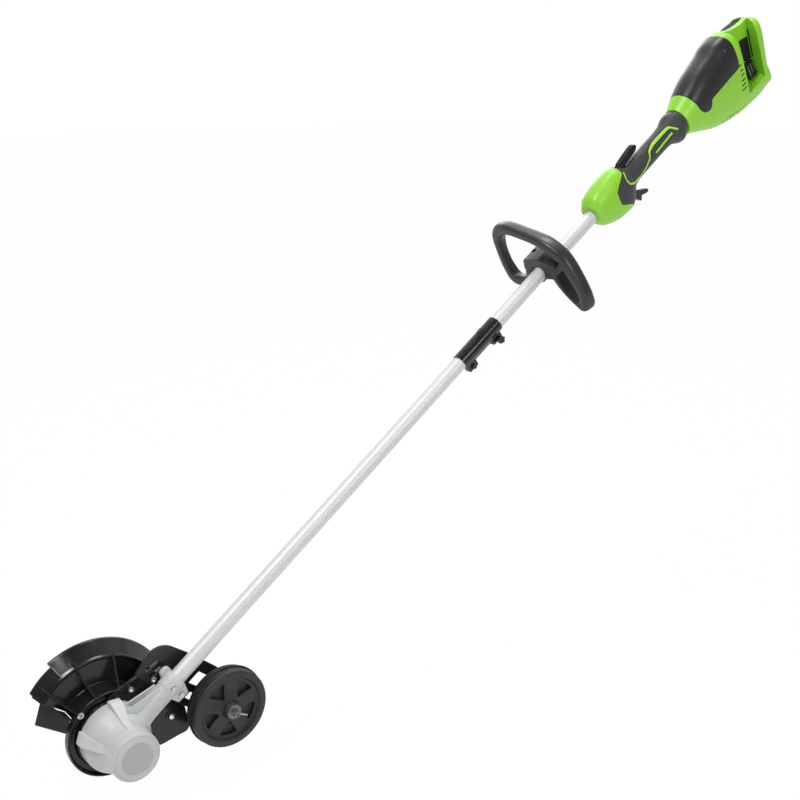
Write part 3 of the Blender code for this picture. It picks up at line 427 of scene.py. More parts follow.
class Outline:
    """Flat loops of (along, up) points and cross-sections of the tool's body."""

    @staticmethod
    def arc(radius: float, first: float, last: float, count: int, centre: Flat = (0, 0)) -> list[Flat]:
        """Gives points on an arc.

        Args:
            radius: The arc's radius.
            first: The first angle in degrees, from along towards up.
            last: The last angle.
            count: How many steps it takes.
            centre: The arc's centre.

        Returns:
            The points, count + 1 of them.
        """
        angles = [math.radians(first + (last - first) * i / count) for i in range(count + 1)]
        return [(centre[0] + radius * math.cos(a), centre[1] + radius * math.sin(a)) for a in angles]

    @staticmethod
    def rounded(outline: Sequence[Flat], radius: float, steps: int = 4, closed: bool = True) -> list[Flat]:
        """Rounds each corner of an outline or a profile.

        Args:
            outline: The points.
            radius: The rounding, kept under 45% of each side.
            steps: How many steps each corner takes.
            closed: Whether the last point joins the first.

        Returns:
            The rounded points.
        """
        made: list[Flat] = []
        count = len(outline)
        for i in range(count):
            here = Vector(outline[i])
            if not closed and i in (0, count - 1):
                made.append(outline[i])
                continue
            before, after = Vector(outline[i - 1]), Vector(outline[(i + 1) % count])
            reach = min(radius, 0.45 * (before - here).length, 0.45 * (after - here).length)
            start = here + (before - here).normalized() * reach
            end = here + (after - here).normalized() * reach
            for step in range(steps + 1):
                t = step / steps
                point = start * (1 - t) ** 2 + here * 2 * t * (1 - t) + end * t * t
                made.append((point.x, point.y))
        return made

    @staticmethod
    def grown(outline: Sequence[Flat], distance: float) -> list[Flat]:
        """Moves a closed outline outwards.

        Args:
            outline: The points.
            distance: How far each side moves.

        Returns:
            The moved points.
        """
        area = sum(a[0] * b[1] - b[0] * a[1] for a, b in zip(outline, [*outline[1:], outline[0]]))
        side = 1 if area > 0 else -1
        moved = []
        for i, point in enumerate(outline):
            before, after = Vector(outline[i - 1]), Vector(outline[(i + 1) % len(outline)])
            here = Vector(point)
            first, second = (here - before).normalized(), (after - here).normalized()
            normal = Vector((first.y + second.y, -first.x - second.x)).normalized() * side
            reach = distance / max(0.4, normal.dot(Vector((first.y, -first.x)) * side))
            moved.append(tuple(here + normal * reach))
        return moved

    @staticmethod
    def sector(first: float, last: float, inner: float, outer: float) -> list[Flat]:
        """The outline of a flat sector between two angles and two radii."""
        count = max(8, int(abs(last - first) / 5))
        return Outline.arc(outer, first, last, count) + Outline.arc(inner, last, first, count)

    @staticmethod
    def slot(first: Flat, last: Flat, radius: float) -> list[Flat]:
        """The outline of a slotted hole between two centres."""
        angle = math.degrees(math.atan2(last[1] - first[1], last[0] - first[0]))
        return Outline.arc(radius, angle - 90, angle + 90, 10, last) + Outline.arc(
            radius, angle + 90, angle + 270, 10, first,
        )

    @staticmethod
    def oval(along: float, wide: float, top: float, low: float, power: float, count: int = 56) -> list[Spot]:
        """Draws a rounded-box section across the shaft, with its points evenly spaced.

        Args:
            along: Where it lies on the shaft.
            wide: Its half width.
            top: Its highest up.
            low: Its lowest up.
            power: 2 for an ellipse, more for squarer corners.
            count: How many points it has.

        Returns:
            The loop of spots.
        """
        middle, tall = (top + low) / 2, (top - low) / 2
        dense: list[Flat] = []
        fine = 360
        for i in range(fine + 1):
            angle = 2 * math.pi * i / fine
            cosine, sine = math.cos(angle), math.sin(angle)
            x = math.copysign(abs(cosine) ** (2 / power), cosine) * wide
            up = math.copysign(abs(sine) ** (2 / power), sine) * tall + middle
            dense.append((x, up))
        lengths = [0.0]
        for a, b in zip(dense, dense[1:]):
            lengths.append(lengths[-1] + math.dist(a, b))
        spots: list[Spot] = []
        place = 0
        for i in range(count):
            want = lengths[-1] * (i + 0.5) / count
            while lengths[place + 1] < want:
                place += 1
            share = (want - lengths[place]) / (lengths[place + 1] - lengths[place])
            a, b = dense[place], dense[place + 1]
            spots.append((a[0] + (b[0] - a[0]) * share, a[1] + (b[1] - a[1]) * share, along))
        return spots

    @staticmethod
    def graded(rows: Sequence[Sequence[float]], spacing: float) -> list[list[float]]:
        """Fills in between rows of numbers with a smooth curve that never overshoots them.

        Args:
            rows: Rows whose first number is the place along the shaft.
            spacing: About how far apart the new rows are.

        Returns:
            The finer rows.
        """
        places = [row[0] for row in rows]
        slopes: list[list[float]] = []
        last = len(rows) - 1
        for k in range(1, len(rows[0])):
            steps = [(rows[i + 1][k] - rows[i][k]) / (places[i + 1] - places[i]) for i in range(last)]
            column = [steps[0]]
            for i in range(1, last):
                first, second = steps[i - 1], steps[i]
                column.append(0.0 if first * second <= 0 else 2 * first * second / (first + second))
            column.append(steps[-1])
            slopes.append(column)
        made: list[list[float]] = []
        for i in range(last):
            span = places[i + 1] - places[i]
            count = max(2, round(span / spacing))
            for step in range(count):
                t = step / count
                row = [places[i] + span * t]
                for k, column in enumerate(slopes, 1):
                    a, b = rows[i][k], rows[i + 1][k]
                    row.append(
                        a * (1 + 2 * t) * (1 - t) ** 2 + b * t * t * (3 - 2 * t)
                        + span * (column[i] * t * (1 - t) ** 2 - column[i + 1] * t * t * (1 - t))
                    )
                made.append(row)
        made.append(list(rows[-1]))
        return made

    @staticmethod
    def half_width(rows: Sequence[Sequence[float]], along: float, up: float) -> float:
        """How far out the skin of graded body sections lies at a place and height."""
        after = next((i for i, row in enumerate(rows) if row[0] >= along), len(rows) - 1)
        first, second = rows[max(0, after - 1)], rows[after]
        share = (along - first[0]) / (second[0] - first[0]) if second[0] > first[0] else 0.0
        wide, top, low, power = [a + (b - a) * share for a, b in zip(first[1:5], second[1:5])]
        middle, tall = (top + low) / 2, (top - low) / 2
        return wide * max(0.0, 1 - abs((up - middle) / tall) ** power) ** (1 / power)


class Brush:
    """Wires the nodes of one finish."""

    def __init__(self, name: str) -> None:
        """Starts a material of that name with its main shader and its coordinates."""
        self.made = bpy.data.materials.new(name)
        self.made.use_nodes = True
        self.tree = self.made.node_tree
        self.shader = self.tree.nodes["Principled BSDF"]
        self.where = self.tree.nodes.new("ShaderNodeTexCoord").outputs["Object"]

    def add(self, kind: str, **settings: object) -> bpy.types.Node:
        """Adds a node and sets its own properties."""
        node = self.tree.nodes.new(kind)
        for key, value in settings.items():
            setattr(node, key, value)
        return node

    def link(self, source: bpy.types.NodeSocket, target: bpy.types.NodeSocket) -> None:
        """Joins two sockets."""
        self.tree.links.new(source, target)

    def stretched(self, scale: Spot, turn: float = 0.0) -> bpy.types.NodeSocket:
        """Coordinates that are scaled, after a turn about x in radians."""
        mapping = self.add("ShaderNodeMapping")
        mapping.inputs["Rotation"].default_value = (turn, 0, 0)
        mapping.inputs["Scale"].default_value = scale
        self.link(self.where, mapping.inputs["Vector"])
        return mapping.outputs["Vector"]

    def noise(
        self, per_metre: float, detail: float = 3.0, where: bpy.types.NodeSocket | None = None,
    ) -> bpy.types.NodeSocket:
        """A noise value.

        Args:
            per_metre: Its scale in the object's metres.
            detail: Its octaves.
            where: Other coordinates.

        Returns:
            The socket of the value.
        """
        node = self.add("ShaderNodeTexNoise")
        node.inputs["Scale"].default_value = per_metre
        node.inputs["Detail"].default_value = detail
        self.link(where or self.where, node.inputs["Vector"])
        return node.outputs["Fac"]

    def range(
        self, value: bpy.types.NodeSocket, low: float, high: float, ends: Flat = (0.3, 0.7),
    ) -> bpy.types.NodeSocket:
        """Spreads a value between two others.

        Args:
            value: The value that varies.
            low: What its low end becomes.
            high: What its high end becomes.
            ends: Its own low and high ends.

        Returns:
            The socket of the result.
        """
        node = self.add("ShaderNodeMapRange")
        node.inputs["From Min"].default_value = ends[0]
        node.inputs["From Max"].default_value = ends[1]
        node.inputs["To Min"].default_value = low
        node.inputs["To Max"].default_value = high
        self.link(value, node.inputs["Value"])
        return node.outputs["Result"]

    def between(
        self, share: bpy.types.NodeSocket, first: Sequence[float], second: Sequence[float],
    ) -> bpy.types.NodeSocket:
        """A colour between two colours."""
        node = self.add("ShaderNodeMix", data_type="RGBA")
        node.inputs[6].default_value = (*first, 1)
        node.inputs[7].default_value = (*second, 1)
        self.link(share, node.inputs[0])
        return node.outputs[2]

    def relief(self, height: bpy.types.NodeSocket, depth_mm: float, strength: float, edge_mm: float) -> None:
        """Gives the shader its fine relief, over edges that catch light as if rounded.

        Args:
            height: The relief's height from 0 to 1.
            depth_mm: How deep it is.
            strength: How strongly it shows.
            edge_mm: The radius that edges seem to have.
        """
        bump = self.add("ShaderNodeBump")
        bump.inputs["Strength"].default_value = strength
        bump.inputs["Distance"].default_value = depth_mm * MM
        self.link(height, bump.inputs["Height"])
        if edge_mm > 0:
            soft = self.add("ShaderNodeBevel", samples=4)
            soft.inputs["Radius"].default_value = edge_mm * MM
            self.link(soft.outputs["Normal"], bump.inputs["Normal"])
        self.link(bump.outputs["Normal"], self.shader.inputs["Normal"])

    def rubbed_edges(
        self, colour: bpy.types.NodeSocket, bright: Sequence[float], amount: float,
    ) -> bpy.types.NodeSocket:
        """Lightens a colour a little along outer edges, where hands and soil rub.

        Args:
            colour: The socket of the colour.
            bright: The colour of rubbed edges.
            amount: How much of it shows at most.

        Returns:
            The socket of the result.
        """
        shape = self.add("ShaderNodeNewGeometry")
        edge = self.range(shape.outputs["Pointiness"], 0.0, amount, (0.53, 0.64))
        node = self.add("ShaderNodeMix", data_type="RGBA")
        node.inputs[7].default_value = (*bright, 1)
        self.link(edge, node.inputs[0])
        self.link(colour, node.inputs[6])
        return node.outputs[2]


@dataclass(frozen=True)
class Finish:
    """What every finish has: its name, colour, record slot and gloss."""

    name: str
    slot: str
    colour: tuple[float, float, float]
    roughness: float = 0.45
    metallic: float = 0.0
    edge_mm: float = 0.8

    def material(self) -> bpy.types.Material:
        """The finish's material, made once."""
        found = bpy.data.materials.get(self.name)
        if found:
            return found
        brush = Brush(self.name)
        brush.shader.inputs["Metallic"].default_value = self.metallic
        self.paint(brush)
        return brush.made

    def shade(self, share: float) -> tuple[float, float, float]:
        """The finish's colour times a share."""
        return tuple(min(1.0, part * share) for part in self.colour)

    def paint(self, brush: Brush) -> None:
        """Wires the colour, gloss and relief. Each kind of finish has its own."""
        raise NotImplementedError


@dataclass(frozen=True)
class MouldedPlastic(Finish):
    """Injection-moulded plastic with a spark-eroded grain, faint flow marks and rubbed edges."""

    grain_per_metre: float = 1500.0
    grain: float = 0.25
    flow: float = 0.06
    specular: float = 0.5

    def paint(self, brush: Brush) -> None:
        """Wires the plastic."""
        broad = brush.noise(22, 2)
        colour = brush.between(broad, self.shade(1 - self.flow), self.shade(1 + self.flow))
        colour = brush.rubbed_edges(colour, self.shade(1.5), 0.35)
        brush.link(colour, brush.shader.inputs["Base Color"])
        smudge = brush.noise(60, 4)
        brush.link(
            brush.range(smudge, self.roughness - 0.05, self.roughness + 0.07),
            brush.shader.inputs["Roughness"],
        )
        brush.shader.inputs["Specular IOR Level"].default_value = self.specular
        cells = brush.add("ShaderNodeTexVoronoi", feature="SMOOTH_F1")
        cells.inputs["Scale"].default_value = self.grain_per_metre
        brush.link(brush.where, cells.inputs["Vector"])
        brush.relief(cells.outputs["Distance"], 0.05, self.grain, self.edge_mm)


@dataclass(frozen=True)
class DieCasting(Finish):
    """A die casting under satin paint, with the slight unevenness of the casting's skin."""

    def paint(self, brush: Brush) -> None:
        """Wires the casting."""
        broad = brush.noise(45, 5)
        colour = brush.between(broad, self.shade(0.94), self.shade(1.05))
        colour = brush.rubbed_edges(colour, self.shade(1.2), 0.5)
        brush.link(colour, brush.shader.inputs["Base Color"])
        brush.link(
            brush.range(brush.noise(140, 3), self.roughness - 0.07, self.roughness + 0.09),
            brush.shader.inputs["Roughness"],
        )
        brush.relief(brush.noise(420, 4), 0.15, 0.3, self.edge_mm)


@dataclass(frozen=True)
class DrawnTube(Finish):
    """Drawn and anodised aluminium tube, with fine lines that run along it."""

    def paint(self, brush: Brush) -> None:
        """Wires the tube's skin."""
        lines = brush.stretched((160, 160, 4), math.pi / 2 - SHAFT_SLOPE)
        drawn = brush.noise(1.0, 3, lines)
        colour = brush.between(drawn, self.shade(0.98), self.shade(1.02))
        brush.link(colour, brush.shader.inputs["Base Color"])
        brush.link(
            brush.range(drawn, self.roughness - 0.02, self.roughness + 0.03),
            brush.shader.inputs["Roughness"],
        )
        brush.relief(drawn, 0.002, 0.02, self.edge_mm)


@dataclass(frozen=True)
class TurnedSteel(Finish):
    """Machined or plated steel, with fine tool marks and a few darker spots."""

    def paint(self, brush: Brush) -> None:
        """Wires the steel."""
        marks = brush.noise(1.0, 2, brush.stretched((4200, 500, 500)))
        spots = brush.noise(260, 5)
        colour = brush.between(brush.range(spots, 0.0, 1.0, (0.35, 0.75)), self.shade(1.05), self.shade(0.8))
        brush.link(colour, brush.shader.inputs["Base Color"])
        brush.link(
            brush.range(marks, self.roughness - 0.06, self.roughness + 0.1), brush.shader.inputs["Roughness"],
        )
        brush.relief(marks, 0.02, 0.2, self.edge_mm)


@dataclass(frozen=True)
class Rubber(Finish):
    """Moulded rubber with a dull skin and a little dust in its surface."""

    def paint(self, brush: Brush) -> None:
        """Wires the rubber."""
        dust = brush.noise(75, 6)
        colour = brush.between(brush.range(dust, 0.0, 1.0, (0.4, 0.75)), self.colour, self.shade(1.45))
        colour = brush.rubbed_edges(colour, self.shade(2.0), 0.4)
        brush.link(colour, brush.shader.inputs["Base Color"])
        brush.link(
            brush.range(dust, self.roughness - 0.08, self.roughness + 0.08), brush.shader.inputs["Roughness"],
        )
        brush.shader.inputs["Specular IOR Level"].default_value = 0.35
        brush.relief(brush.noise(900, 4), 0.12, 0.35, self.edge_mm)


@dataclass(frozen=True)
class PowderCoat(Finish):
    """Black powder coat on sheet steel, with its soft orange-peel skin."""

    def paint(self, brush: Brush) -> None:
        """Wires the coat."""
        colour = brush.between(brush.noise(40, 3), self.shade(0.85), self.shade(1.15))
        colour = brush.rubbed_edges(colour, (0.3, 0.3, 0.3), 0.25)
        brush.link(colour, brush.shader.inputs["Base Color"])
        brush.link(
            brush.range(brush.noise(150, 3), self.roughness - 0.05, self.roughness + 0.05),
            brush.shader.inputs["Roughness"],
        )
        brush.relief(brush.noise(650, 2), 0.12, 0.3, self.edge_mm)


@dataclass(frozen=True)
class Winding(Finish):
    """Enamelled copper wire laid in turns."""

    def paint(self, brush: Brush) -> None:
        """Wires the turns."""
        wave = brush.add("ShaderNodeTexWave", bands_direction="Z")
        wave.inputs["Scale"].default_value = 380
        wave.inputs["Distortion"].default_value = 1.5
        brush.link(brush.where, wave.inputs["Vector"])
        colour = brush.between(wave.outputs["Fac"], self.shade(0.45), self.shade(1.1))
        brush.link(colour, brush.shader.inputs["Base Color"])
        brush.link(brush.range(wave.outputs["Fac"], 0.45, 0.28, (0, 1)), brush.shader.inputs["Roughness"])
        brush.relief(wave.outputs["Fac"], 0.3, 0.6, 0)


@dataclass(frozen=True)
class Lacquer(Finish):
    """A lacquered circuit board with tracks under its lacquer."""

    def paint(self, brush: Brush) -> None:
        """Wires the board."""
        tracks = brush.add("ShaderNodeTexBrick")
        tracks.inputs["Scale"].default_value = 130
        tracks.inputs["Color1"].default_value = (*self.colour, 1)
        tracks.inputs["Color2"].default_value = (*self.shade(0.7), 1)
        tracks.inputs["Mortar"].default_value = (*self.shade(1.9), 1)
        brush.link(brush.where, tracks.inputs["Vector"])
        brush.link(tracks.outputs["Color"], brush.shader.inputs["Base Color"])
        brush.link(brush.range(tracks.outputs["Fac"], 0.25, 0.45, (0, 1)), brush.shader.inputs["Roughness"])
        brush.relief(tracks.outputs["Fac"], 0.05, 0.3, 0)


GREEN = MouldedPlastic(
    "leaf_green_plastic", "green_plastic", (0.27, 0.62, 0.036), 0.34, grain=0.03, flow=0.03, edge_mm=0.5,
)
ACCENT = MouldedPlastic(
    "leaf_green_inlay", "green_plastic", (0.33, 0.66, 0.06), 0.4, grain=0.06, flow=0.03, edge_mm=0.4,
)
GREY = MouldedPlastic(
    "slate_grey_plastic", "dark_plastic", (0.022, 0.022, 0.0225), 0.36, grain=0.2, edge_mm=1.0, specular=0.4,
)
GRIP_GREY = MouldedPlastic(
    "grip_grey_plastic", "dark_plastic", (0.05, 0.05, 0.052), 0.5, grain=0.35, edge_mm=1.0, specular=0.3,
)
HANDLE_GREY = MouldedPlastic(
    "handle_grey_plastic", "dark_plastic", (0.026, 0.026, 0.027), 0.34, grain=0.15, edge_mm=1.6, specular=0.5,
)
GUARD_BLACK = MouldedPlastic(
    "guard_black_plastic", "black_plastic", (0.011, 0.0115, 0.0095), 0.17, grain=0.03, edge_mm=1.4,
    specular=0.42,
)
SATIN_BLACK = MouldedPlastic(
    "satin_black_plastic", "black_plastic", (0.012, 0.012, 0.012), 0.3, grain=0.12, edge_mm=0.8,
    specular=0.45,
)
MATT_BLACK = MouldedPlastic(
    "matt_black_plastic", "black_plastic", (0.012, 0.012, 0.0125), 0.55, grain=0.3, edge_mm=0.8, specular=0.2,
)
GLOSS_BLACK = MouldedPlastic(
    "gloss_black_plastic", "black_plastic", (0.01, 0.01, 0.01), 0.2, grain=0.03, edge_mm=0.8, specular=0.55,
)
CASTING = DieCasting("silver_casting", "cast_alloy", (0.50, 0.515, 0.51), 0.42, edge_mm=1.2)
DULL_CASTING = DieCasting("dull_silver_casting", "cast_alloy", (0.38, 0.39, 0.385), 0.5, edge_mm=0.3)
TUBE = DrawnTube("anodised_tube", "satin_aluminium", (0.66, 0.67, 0.67), 0.5, metallic=0.3, edge_mm=0)
WORN_STEEL = TurnedSteel(
    "worn_zinc_steel", "bright_steel", (0.2, 0.19, 0.175), 0.4, metallic=0.7, edge_mm=0.3,
)
BRIGHT_STEEL = TurnedSteel(
    "bright_plated_steel", "bright_steel", (0.82, 0.82, 0.83), 0.24, metallic=1.0, edge_mm=0.3,
)
STEEL = TurnedSteel("turned_steel", "bright_steel", (0.6, 0.6, 0.61), 0.28, metallic=1.0, edge_mm=0.4)
WHEEL_RUBBER = Rubber("wheel_rubber", "black_rubber", (0.026, 0.0265, 0.027), 0.5, edge_mm=1.1)
FLAP_RUBBER = Rubber("flap_rubber", "black_rubber", (0.012, 0.0125, 0.009), 0.6, edge_mm=0.6)
COATED = PowderCoat("black_powder_coat", "painted_steel", (0.013, 0.0142, 0.011), 0.34, edge_mm=0.9)
NYLON = MouldedPlastic("natural_nylon", "nylon", (0.75, 0.75, 0.7), 0.5, grain=0.1)
COPPER = Winding("copper_turns", "copper_winding", (0.75, 0.35, 0.16), 0.35, metallic=0.9)
BOARD = Lacquer("green_board", "circuit_board", (0.02, 0.16, 0.06), 0.35)


def shown(
    name: str, mesh: Mesh, finish: Finish, body: str, stands_for: Sequence[str] = (), sharp: float = 33.0,
) -> Thing:
    """Puts a finished piece into the scene.

    Args:
        name: The piece's name.
        mesh: Its mesh in the tool frame.
        finish: Its finish.
        body: The CAD body that it moves with.
        stands_for: The CAD nodes that it replaces.
        sharp: The angle in degrees above which an edge stays sharp.

    Returns:
        The piece.
    """
    mesh.transform(TO_WORLD)
    mesh.materials.clear()
    mesh.materials.append(finish.material())
    mesh.shade_smooth()
    mesh.set_sharp_from_angle(angle=math.radians(sharp))
    mesh.name = name
    obj = bpy.data.objects.new(name, mesh)
    bpy.context.scene.collection.objects.link(obj)
    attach(obj, body)
    if stands_for:
        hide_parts(*stands_for)
    log.info("built %s on %s", name, body)
    return obj


def softened(obj: Thing, width: float, segments: int = 2, angle: float = 33.0) -> Thing:
    """Rounds a piece's edges.

    Args:
        obj: The piece.
        width: The rounding in millimetres.
        segments: How many facets the rounding has.
        angle: The least angle in degrees of an edge that is rounded.

    Returns:
        The same piece.
    """
    bevel = obj.modifiers.new("rounding", "BEVEL")
    bevel.width = width * MM
    bevel.segments = segments
    bevel.limit_method = "ANGLE"
    bevel.angle_limit = math.radians(angle)
    bevel.harden_normals = True
    bevel.use_clamp_overlap = True
    return obj


def even(obj: Thing) -> Thing:
    """Lets large faces lead the shading of a piece that was cut."""
    weighted = obj.modifiers.new("even_shading", "WEIGHTED_NORMAL")
    weighted.keep_sharp = True
    weighted.weight = 80
    return obj


@dataclass
class Assembly:
    """A group of pieces, with the frame that it is built round."""

    frame: dict

    def dress(self, node: str, finish: Finish, rounding: float = 0.35) -> None:
        """Gives a CAD node its finish, and rounds its edges.

        Args:
            node: The CAD node.
            finish: Its finish.
            rounding: The rounding of its edges in millimetres.
        """
        obj = self.frame["nodes"][node]
        mesh = obj.data
        if "custom_normal" in mesh.attributes:
            mesh.attributes.remove(mesh.attributes["custom_normal"])
        mesh.materials.clear()
        mesh.materials.append(finish.material())
        mesh.shade_smooth()
        weld = obj.modifiers.new("weld", "WELD")
        weld.merge_threshold = 0.00001
        softened(obj, rounding)
        log.info("dressed %s", node)


@dataclass
class PowerHead(Assembly):
    """The green motor housing with its grey cover, battery bay, latch and terminals."""

    start: float = 1474.0
    wall: float = 3.0
    bay_wall: float = 8.0
    bay_floor: float = -59.0
    seam: float = 0.9
    stations: tuple[tuple[float, ...], ...] = (
        (1474, 27, 27, -31, 2.0, 0), (1488, 31, 33, -38, 2.1, 0), (1506, 35, 41, -48, 2.3, 0),
        (1545, 38, 54, -69, 2.7, 0), (1590, 38, 62, -83, 3.0, 0), (1625, 38, 70, -90, 3.2, 0.1),
        (1648, 38, 70, -92, 3.3, 0.3), (1668, 38, 62, -93, 3.6, 0.5), (1692, 38, 54, -92, 4.0, 0.8),
        (1715, 37.5, 50, -88, 4.8, 1), (1733, 37, 49.5, -88, 4.8, 1), (1739, 33.5, 46, -84, 4.5, 1),
    )
    cover: tuple[Flat, ...] = (
        (1497, 110), (1503, 28), (1505, 17), (1506, 3), (1515, -9), (1531, -12), (1541, 3), (1637, 5),
        (1640, 25),
        (1644, 54), (1642, 68), (1636, 110),
    )
    slots: tuple[tuple[float, float, float], ...] = (
        (5.5, 1637, 1645), (-4.6, 1635, 1645), (-13.8, 1633, 1644), (-23.4, 1630, 1643), (-31.9, 1627, 1641),
        (-40.4, 1623, 1640),
    )
    crease: tuple[Flat, ...] = ((1569, -59.6), (1600, -69), (1631, -78.6))
    contacts: tuple[float, ...] = (1677, 1685, 1693)

    def lean(self, up: float) -> float:
        """How far the rear end leans forward at a height, with a foot at the bottom."""
        lean = 0.255 * (up - 48)
        if up < -45:
            lean += 0.455 * (-45 - up)
        return lean

    def sections(self, inset: float) -> list[list[Spot]]:
        """The housing's sections.

        Args:
            inset: How far inside the outer skin they lie.

        Returns:
            The loops, front to rear.
        """
        rows = self.stations
        if inset:
            rows = (
                (self.start + self.wall, 28, 29, -33, 2.0, 0), *rows[1:-2], (1728, 37.2, 49.6, -88, 4.8, 1),
            )
        sections = []
        for along, wide, top, low, power, lean in Outline.graded(rows, 7):
            section = Outline.oval(along, wide - inset, top - inset, low + inset, power, 64)
            sections.append([(x, up, z + lean * self.lean(up)) for x, up, z in section])
        return sections

    def bay(self, grow: float = 0.0) -> Mesh:
        """The battery's space, grown by a wall."""
        sections = []
        for x, rear in ((self.bay_wall - grow, 31), (self.bay_wall + 3, 31), (40, 15)):
            low = self.bay_floor - grow
            sections.append([
                (x, 100, 1665 - grow), (x, low, 1641 - grow), (x, low, 1679 + rear + grow),
                (x, 100, 1709 + rear + grow),
            ])
        return Stock.loft(sections)

    def skin(self, along: float, up: float) -> Spot:
        """The spot on the housing's left skin at a place and height."""
        return (Outline.half_width(self.stations, along, up), up, along)

    def vents(self) -> Mesh:
        """The slots beside the bay and across the underside."""
        slots = []
        for up, first, last in self.slots:
            for x in ((20, 60), (-60, -20)):
                slots.append(Stock.block(x, (up - 1.8, up + 1.8), (first, last), 0.4))
        for i in range(5):
            along = 1556 + 11 * i
            slots.append(Stock.block((-34, 34), (-110, -60 - 3 * i), (along, along + 4), 1))
        return Stock.together(*slots)

    def build(self) -> None:
        """Builds the shells, their cover and the fittings of the bay."""
        outer = Stock.loft(self.sections(0))
        hollow = Stock.worked(Stock.loft(self.sections(self.wall)), self.bay(self.wall), Job.CUT)
        shell = Stock.worked(outer, hollow, Job.CUT)
        shaft_bore = Stock.rod(10, (0, 0, 1440), (0, 0, 1500))
        shell = Stock.chain(shell, Job.CUT, self.bay(), shaft_bore)
        outline = Outline.rounded(self.cover, 6)
        cover = Stock.worked(shell, Stock.plate([outline], -80, 80), Job.KEEP)
        place = Stock.plate([Outline.grown(outline, self.seam)], -80, 80)
        body = Stock.chain(shell, Job.CUT, place, self.vents(), self.grooves())
        left = Stock.worked(body, Stock.block((0.1, 90), (-200, 200), (1400, 1800)), Job.KEEP)
        right = Stock.worked(body, Stock.block((-90, -0.1), (-200, 200), (1400, 1800)), Job.KEEP)
        latch_place = Stock.plate([[(1675, 100), (1675, 30), (1736, 24), (1736, 100)]], -24, -3.5)
        right = Stock.worked(right, latch_place, Job.CUT)
        cover = Stock.worked(cover, self.dimple(), Job.CUT)
        even(shown("housing_shell_left", left, GREEN, "tool_frame", ["housing_left"]))
        even(shown("housing_shell_right", right, GREEN, "tool_frame", ["housing_right"]))
        even(softened(shown("grey_motor_cover", cover, GREY, "tool_frame", ["motor_cover"]), 1.2, 2, 40))
        self.build_fittings()

    def grooves(self) -> Mesh:
        """The moulded line low on each side."""
        lines = []
        for side in Side:
            spots = [self.skin(along, up) for along, up in self.crease]
            lines.append(
                Stock.tube_along([(x * side.value, up, along) for x, up, along in spots], 1.1, rounds=2)
            )
        return Stock.together(*lines)

    def dimple(self) -> Mesh:
        """The shallow dimple on the cover's left side."""
        x, up, along = self.skin(1616, 50)
        ball = [(13 * math.cos(math.radians(a)), 13 * math.sin(math.radians(a))) for a in range(-90, 91, 6)]
        ball[0], ball[-1] = (0, -13), (0, 13)
        return Stock.lathe(ball, Axis.ACROSS, (x + 9.6, up + 7.4, along), 40)

    def build_fittings(self) -> None:
        """Builds the latch and the terminals, black sheets behind the vents that stand in for the shade inside the
        housing (painted shade), and on the bay's inner wall the panel and a black strip that stands in for the
        shadow in a slot (painted shade).
        """
        latch = [(1676, 44), (1682, 40), (1730, 34), (1735, 38), (1734, 44), (1705, 50), (1679, 53)]
        softened(
            shown(
                "latch_button", Stock.plate([Outline.rounded(latch, 2)], -23.5, -4), MATT_BLACK, "latch",
                ["battery_latch"],
            ),
            0.8,
        )
        block = Stock.block((self.bay_wall + 0.3, 21), (-52, -20), (1674, 1698), 1)
        mouths = Stock.together(
            *[Stock.block((14, 30), (-47, -10), (along, along + 3.6)) for along in self.contacts]
        )
        shown(
            "terminal_block", Stock.worked(block, mouths, Job.CUT), SATIN_BLACK, "tool_frame",
            ["battery_terminals"],
        )
        blades = [
            Stock.block((13, 20.4), (-45, -22), (along + 1.2, along + 2.4), 0.2)
            for along in self.contacts
        ]
        shown("terminal_blades", Stock.together(*blades), STEEL, "tool_frame")
        panel = Outline.rounded([(1690, 26), (1717, 19), (1708, -25), (1686, -18)], 2)
        # Black sheets just inside the slots beside the bay stand in for the shade inside the housing (painted
        # shade).
        for side in Side:
            shade_sheet = Stock.plate(
                [[(1619, -45), (1638, -45), (1646, 9), (1633, 9)]],
                *sorted((side.value * 31.5, side.value * 34.3)),
            )
            shown(f"vent_shade_sheet_{side.name.lower()}", shade_sheet, MATT_BLACK, "tool_frame")
        # A thin black strip behind the panel stands in for the shadow in a deep slot in the bay's wall (painted
        # shade).
        slot_shade = [(1722, 30), (1725.5, 30), (1715, -25), (1711.5, -25)]
        plates = Stock.together(
            *[Stock.plate([shape], self.bay_wall + 0.05, self.bay_wall + 0.6) for shape in (panel, slot_shade)]
        )
        shown("bay_panel", plates, MATT_BLACK, "tool_frame")


